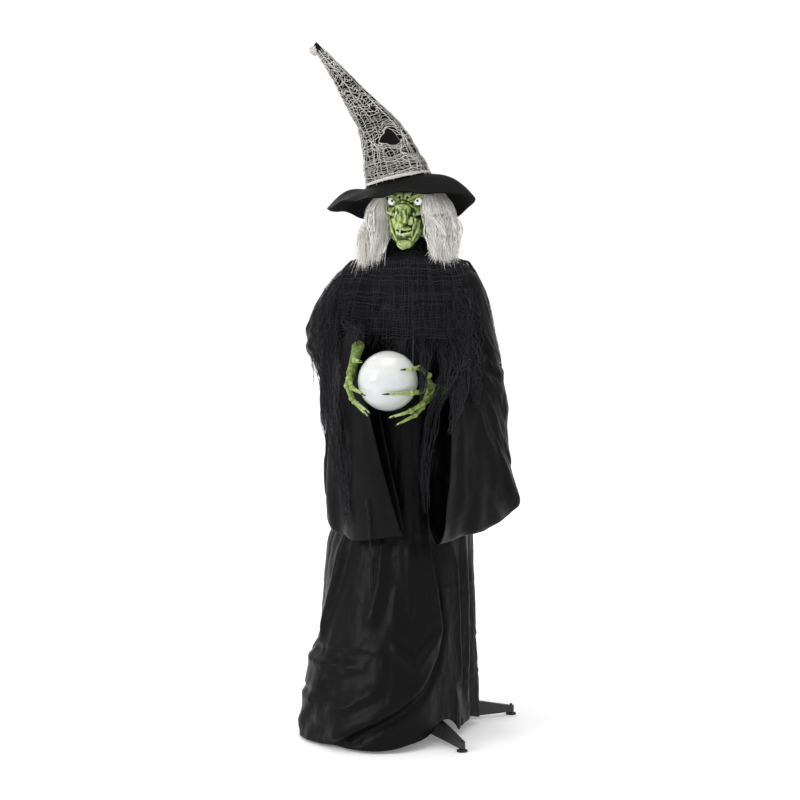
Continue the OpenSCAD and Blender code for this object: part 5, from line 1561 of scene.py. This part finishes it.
def strand(tree, pts, widths, n_long, seed, off=6.0, default=5.55, cross=1.0, end_free=0.2):
    """A torn strip hanging over the cloth, given along its middle in view coordinates."""
    rng = np.random.default_rng(seed)
    pts = np.array(pts, float)
    m = 64
    c = crom(np.column_stack([pts, np.array(widths, float)]), m)
    dep = []
    for x, y, w in c:
        h = [tree.ray_cast(Vector(CAM), Vector(pixel_ray(x + f * w, y)))[3] for f in (-0.35, 0, 0.35)]
        h = [v for v in h if v is not None]
        dep.append(min(h) if h else np.nan)
    dep = np.array(dep)
    good = ~np.isnan(dep)
    dep = np.interp(np.arange(m), np.arange(m)[good], dep[good]) if good.any() else np.full(m, default)
    k = 5
    pad = np.pad(dep, k, mode="edge")
    low = np.array([pad[i:i + 2 * k + 1].min() for i in range(m)])
    low = np.convolve(np.pad(low, k, mode="edge"), np.ones(2 * k + 1) / (2 * k + 1), "valid")
    low = np.minimum(low, dep) - off * MM
    paths, rads, tones = [], [], []

    def world(x, y, d):
        s = 36.0 / 95.873 / 800.0
        R = CF[None] + CR[None] * ((x - 400) * s)[:, None] - CU[None] * ((y - 400) * s)[:, None]
        R /= np.linalg.norm(R, axis=1, keepdims=True)
        return CAM + R * d[:, None]
    s = np.arange(m) / (m - 1)
    for j in range(n_long):
        f = rng.uniform(-0.5, 0.5)
        ph, ph2 = rng.uniform(0, 6.28, 2)
        e = 1.0 if rng.uniform() > 0.5 else rng.uniform(0.45, 1.0)
        b = 0.0 if rng.uniform() > 0.3 else rng.uniform(0, 0.3)
        ss = np.linspace(b, e, 40)
        x = np.interp(ss, s, c[:, 0]) + np.interp(ss, s, c[:, 2]) * (f + 0.16 * np.sin(ss * rng.uniform(9, 22) + ph) + 0.06 * np.sin(ss * 47 + ph2))
        y = np.interp(ss, s, c[:, 1]) + 1.2 * np.sin(ss * 31 + ph)
        d = np.interp(ss, s, low) - rng.uniform(0, 5) * MM - 2.0 * MM * np.sin(ss * 13 + ph2)
        paths.append(world(x, y, d))
        rads.append(rng.uniform(0.5, 1.0) * np.interp(ss, [b, e - 0.12, e], [1, 1, 0.35]))
        tones.append(rng.uniform(0.1, 0.9))
    V, q, t = tubes(np.array(paths), np.array(rads) * MM, 3)
    parts = [((V, q, t), np.repeat(tones, 40 * 3))]
    paths, tones = [], []
    length = np.sum(np.hypot(np.diff(c[:, 0]), np.diff(c[:, 1])))
    for j in range(int(length / 2.1 * cross)):
        s0 = rng.uniform(0, 0.97)
        x0, y0, w0 = [np.interp(s0, s, c[:, i]) for i in range(3)]
        a, b = sorted(rng.uniform(-0.62, 0.62, 2))
        if b - a < 0.25:
            b = a + 0.35
        u = np.linspace(a, b, 10)
        x = x0 + w0 * u
        y = y0 + rng.uniform(-0.25, 0.25) * w0 * (u - a) + 0.6 * np.sin(u * 9 + j) + 1.4 * (u - (a + b) / 2) ** 2 * 4
        d = np.full(10, np.interp(s0, s, low)) - rng.uniform(0, 5) * MM
        paths.append(world(x, y, d))
        tones.append(rng.uniform(0.1, 0.9))
    V, q, t = tubes(np.array(paths), np.full((len(paths), 10), 0.62 * MM), 3)
    parts.append(((V, q, t), np.repeat(tones, 30)))
    return parts


def build_strands():
    tree = tree_of([robe, sleeve_r, sleeve_l] + [o for o in bpy.data.objects if o.name.startswith(("hand_skin", "globe_shell"))])
    A = strand(tree, [(334, 288), (330, 330), (329, 370), (333, 420), (339, 470), (344, 500), (346, 524)], [16, 22, 20, 18, 13, 9, 7], 60, 201)
    B = strand(tree, [(345, 280), (350, 305), (354, 326), (357, 345)], [26, 21, 17, 13], 44, 202)
    A2 = strand(tree, [(325, 304), (320, 345), (325, 385), (330, 420)], [6, 12, 8, 4], 22, 207)
    E_ = strand(tree, [(461, 288), (470, 330), (475, 370), (476, 404)], [22, 20, 14, 6], 40, 204)
    F_ = strand(tree, [(455, 296), (462, 350), (458, 400), (450, 434)], [24, 20, 13, 5], 36, 205)
    nets_to_obj("gauze_strands_right", A + B + A2, "gauze", "arms", ("shawl_strands",))
    nets_to_obj("gauze_strands_left", E_ + F_, "gauze", "arms")
    D = strand(tree, [(434, 292), (444, 332), (449, 360), (444, 388), (432, 420), (426, 470), (426, 512)], [32, 22, 16, 14, 12, 10, 5], 52, 203, 8.0)
    C = strand(tree, [(366, 500), (369, 540), (369, 600)], [4, 3, 2], 5, 206, 5.0)
    G = strand(tree, [(420, 280), (424, 330), (424, 372), (421, 400)], [24, 16, 9, 4], 26, 208)
    for nm, p in (("gauze_strand_chest", D + G), ("gauze_thread_front", C)):
        V, q, t = join_parts([x for x, _ in p])
        o = mesh_obj(nm, V, q, t)
        set_attr(o, "tone", np.concatenate([x for _, x in p]))
        use(o, "gauze")
        if nm == "gauze_thread_front":
            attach(o, "arms")
        else:
            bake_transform(o)
    # piping seam down the front of the robe
    c = crom(np.array([(413, 296, 1), (413.5, 320, 1), (413, 345, 1), (413, 372, 1)], float), 60)
    pts = []
    for x, y, _ in c:
        h = tree.ray_cast(Vector(CAM), Vector(pixel_ray(x, y)))
        if h[0] is not None and h[0].y < 0:
            pts.append(np.array(h[0]) - CF * 1.2 * MM)
    if len(pts) > 8:
        V, q, t = tubes(np.array(pts)[None], np.full((1, len(pts)), 1.5 * MM), 6)
        o = mesh_obj("robe_piping", V, q, t)
        use(o, "steelcloth")
        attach(o, "torso")


build_strands()


# ---------------------------------------------------------------- stage
def area(name, loc, aim, size, power, col=(1, 1, 1)):
    L = bpy.data.lights.new(name, "AREA")
    L.shape = "RECTANGLE"
    L.size, L.size_y = size
    L.energy = power
    L.color = col
    o = link(bpy.data.objects.new(name, L))
    o.location = loc
    o.rotation_euler = (Vector(aim) - Vector(loc)).to_track_quat("-Z", "Y").to_euler()
    return o


def build_stage():
    r = 11.0
    P = np.array([(-r, -r, -0.0006), (r, -r, -0.0006), (r, r, -0.0006), (-r, r, -0.0006)])
    o = mesh_obj("studio_floor", P, np.array([(0, 1, 2, 3)]))
    m = bpy.data.materials.new("studio_white")
    m.use_nodes = True
    b = m.node_tree.nodes["Principled BSDF"]
    b.inputs["Base Color"].default_value = (0.93, 0.93, 0.93, 1)
    b.inputs["Roughness"].default_value = 0.7
    b.inputs["Emission Color"].default_value = (1, 1, 1, 1)
    N, L = m.node_tree.nodes, m.node_tree.links
    geo = N.new("ShaderNodeNewGeometry")
    far = N.new("ShaderNodeVectorMath")
    far.operation = "LENGTH"
    glow = N.new("ShaderNodeMapRange")
    glow.inputs[1].default_value, glow.inputs[2].default_value = 0.9, 3.2
    glow.inputs[3].default_value, glow.inputs[4].default_value = 0.16, 0.42
    L.new(geo.outputs["Position"], far.inputs[0])
    L.new(far.outputs["Value"], glow.inputs[0])
    L.new(glow.outputs[0], b.inputs["Emission Strength"])
    o.data.materials.append(m)
    w = bpy.data.worlds.new("studio")
    bpy.context.scene.world = w
    w.use_nodes = True
    bg = w.node_tree.nodes["Background"]
    bg.inputs[0].default_value = (1, 1, 1, 1)
    lp = w.node_tree.nodes.new("ShaderNodeLightPath")
    mr = w.node_tree.nodes.new("ShaderNodeMapRange")
    mr.inputs[3].default_value, mr.inputs[4].default_value = 0.82, 1.05
    w.node_tree.links.new(lp.outputs["Is Camera Ray"], mr.inputs[0])
    w.node_tree.links.new(mr.outputs[0], bg.inputs[1])
    area("key", (-2.6, -3.4, 2.6), (0, 0, 1.1), (1.6, 2.2), 84)
    area("fill", (3.2, -2.6, 1.9), (0, 0, 1.0), (1.6, 2.4), 6)
    area("top", (0.2, -0.4, 4.2), (0, 0, 0.8), (2.4, 2.4), 34)
    area("rim", (-2.2, 2.2, 2.2), (0, 0, 1.1), (1.2, 2.0), 22)
    sc = bpy.context.scene
    sc.view_settings.view_transform = "Standard"
    sc.view_settings.exposure = 0.0
    cam = bpy.data.cameras.new("camera")
    co = link(bpy.data.objects.new("camera", cam))
    co.location = (1.88554, -5.27311, 1.4)
    co.rotation_mode = "QUATERNION"
    co.rotation_quaternion = (Vector((-0.02977, -0.01084, 0.875)) - Vector(co.location)).to_track_quat("-Z", "Y")
    cam.sensor_width = 36
    cam.lens = 95.873
    cam.clip_start, cam.clip_end = 0.05, 60
    sc.camera = co


build_stage()
bpy.context.view_layer.update()
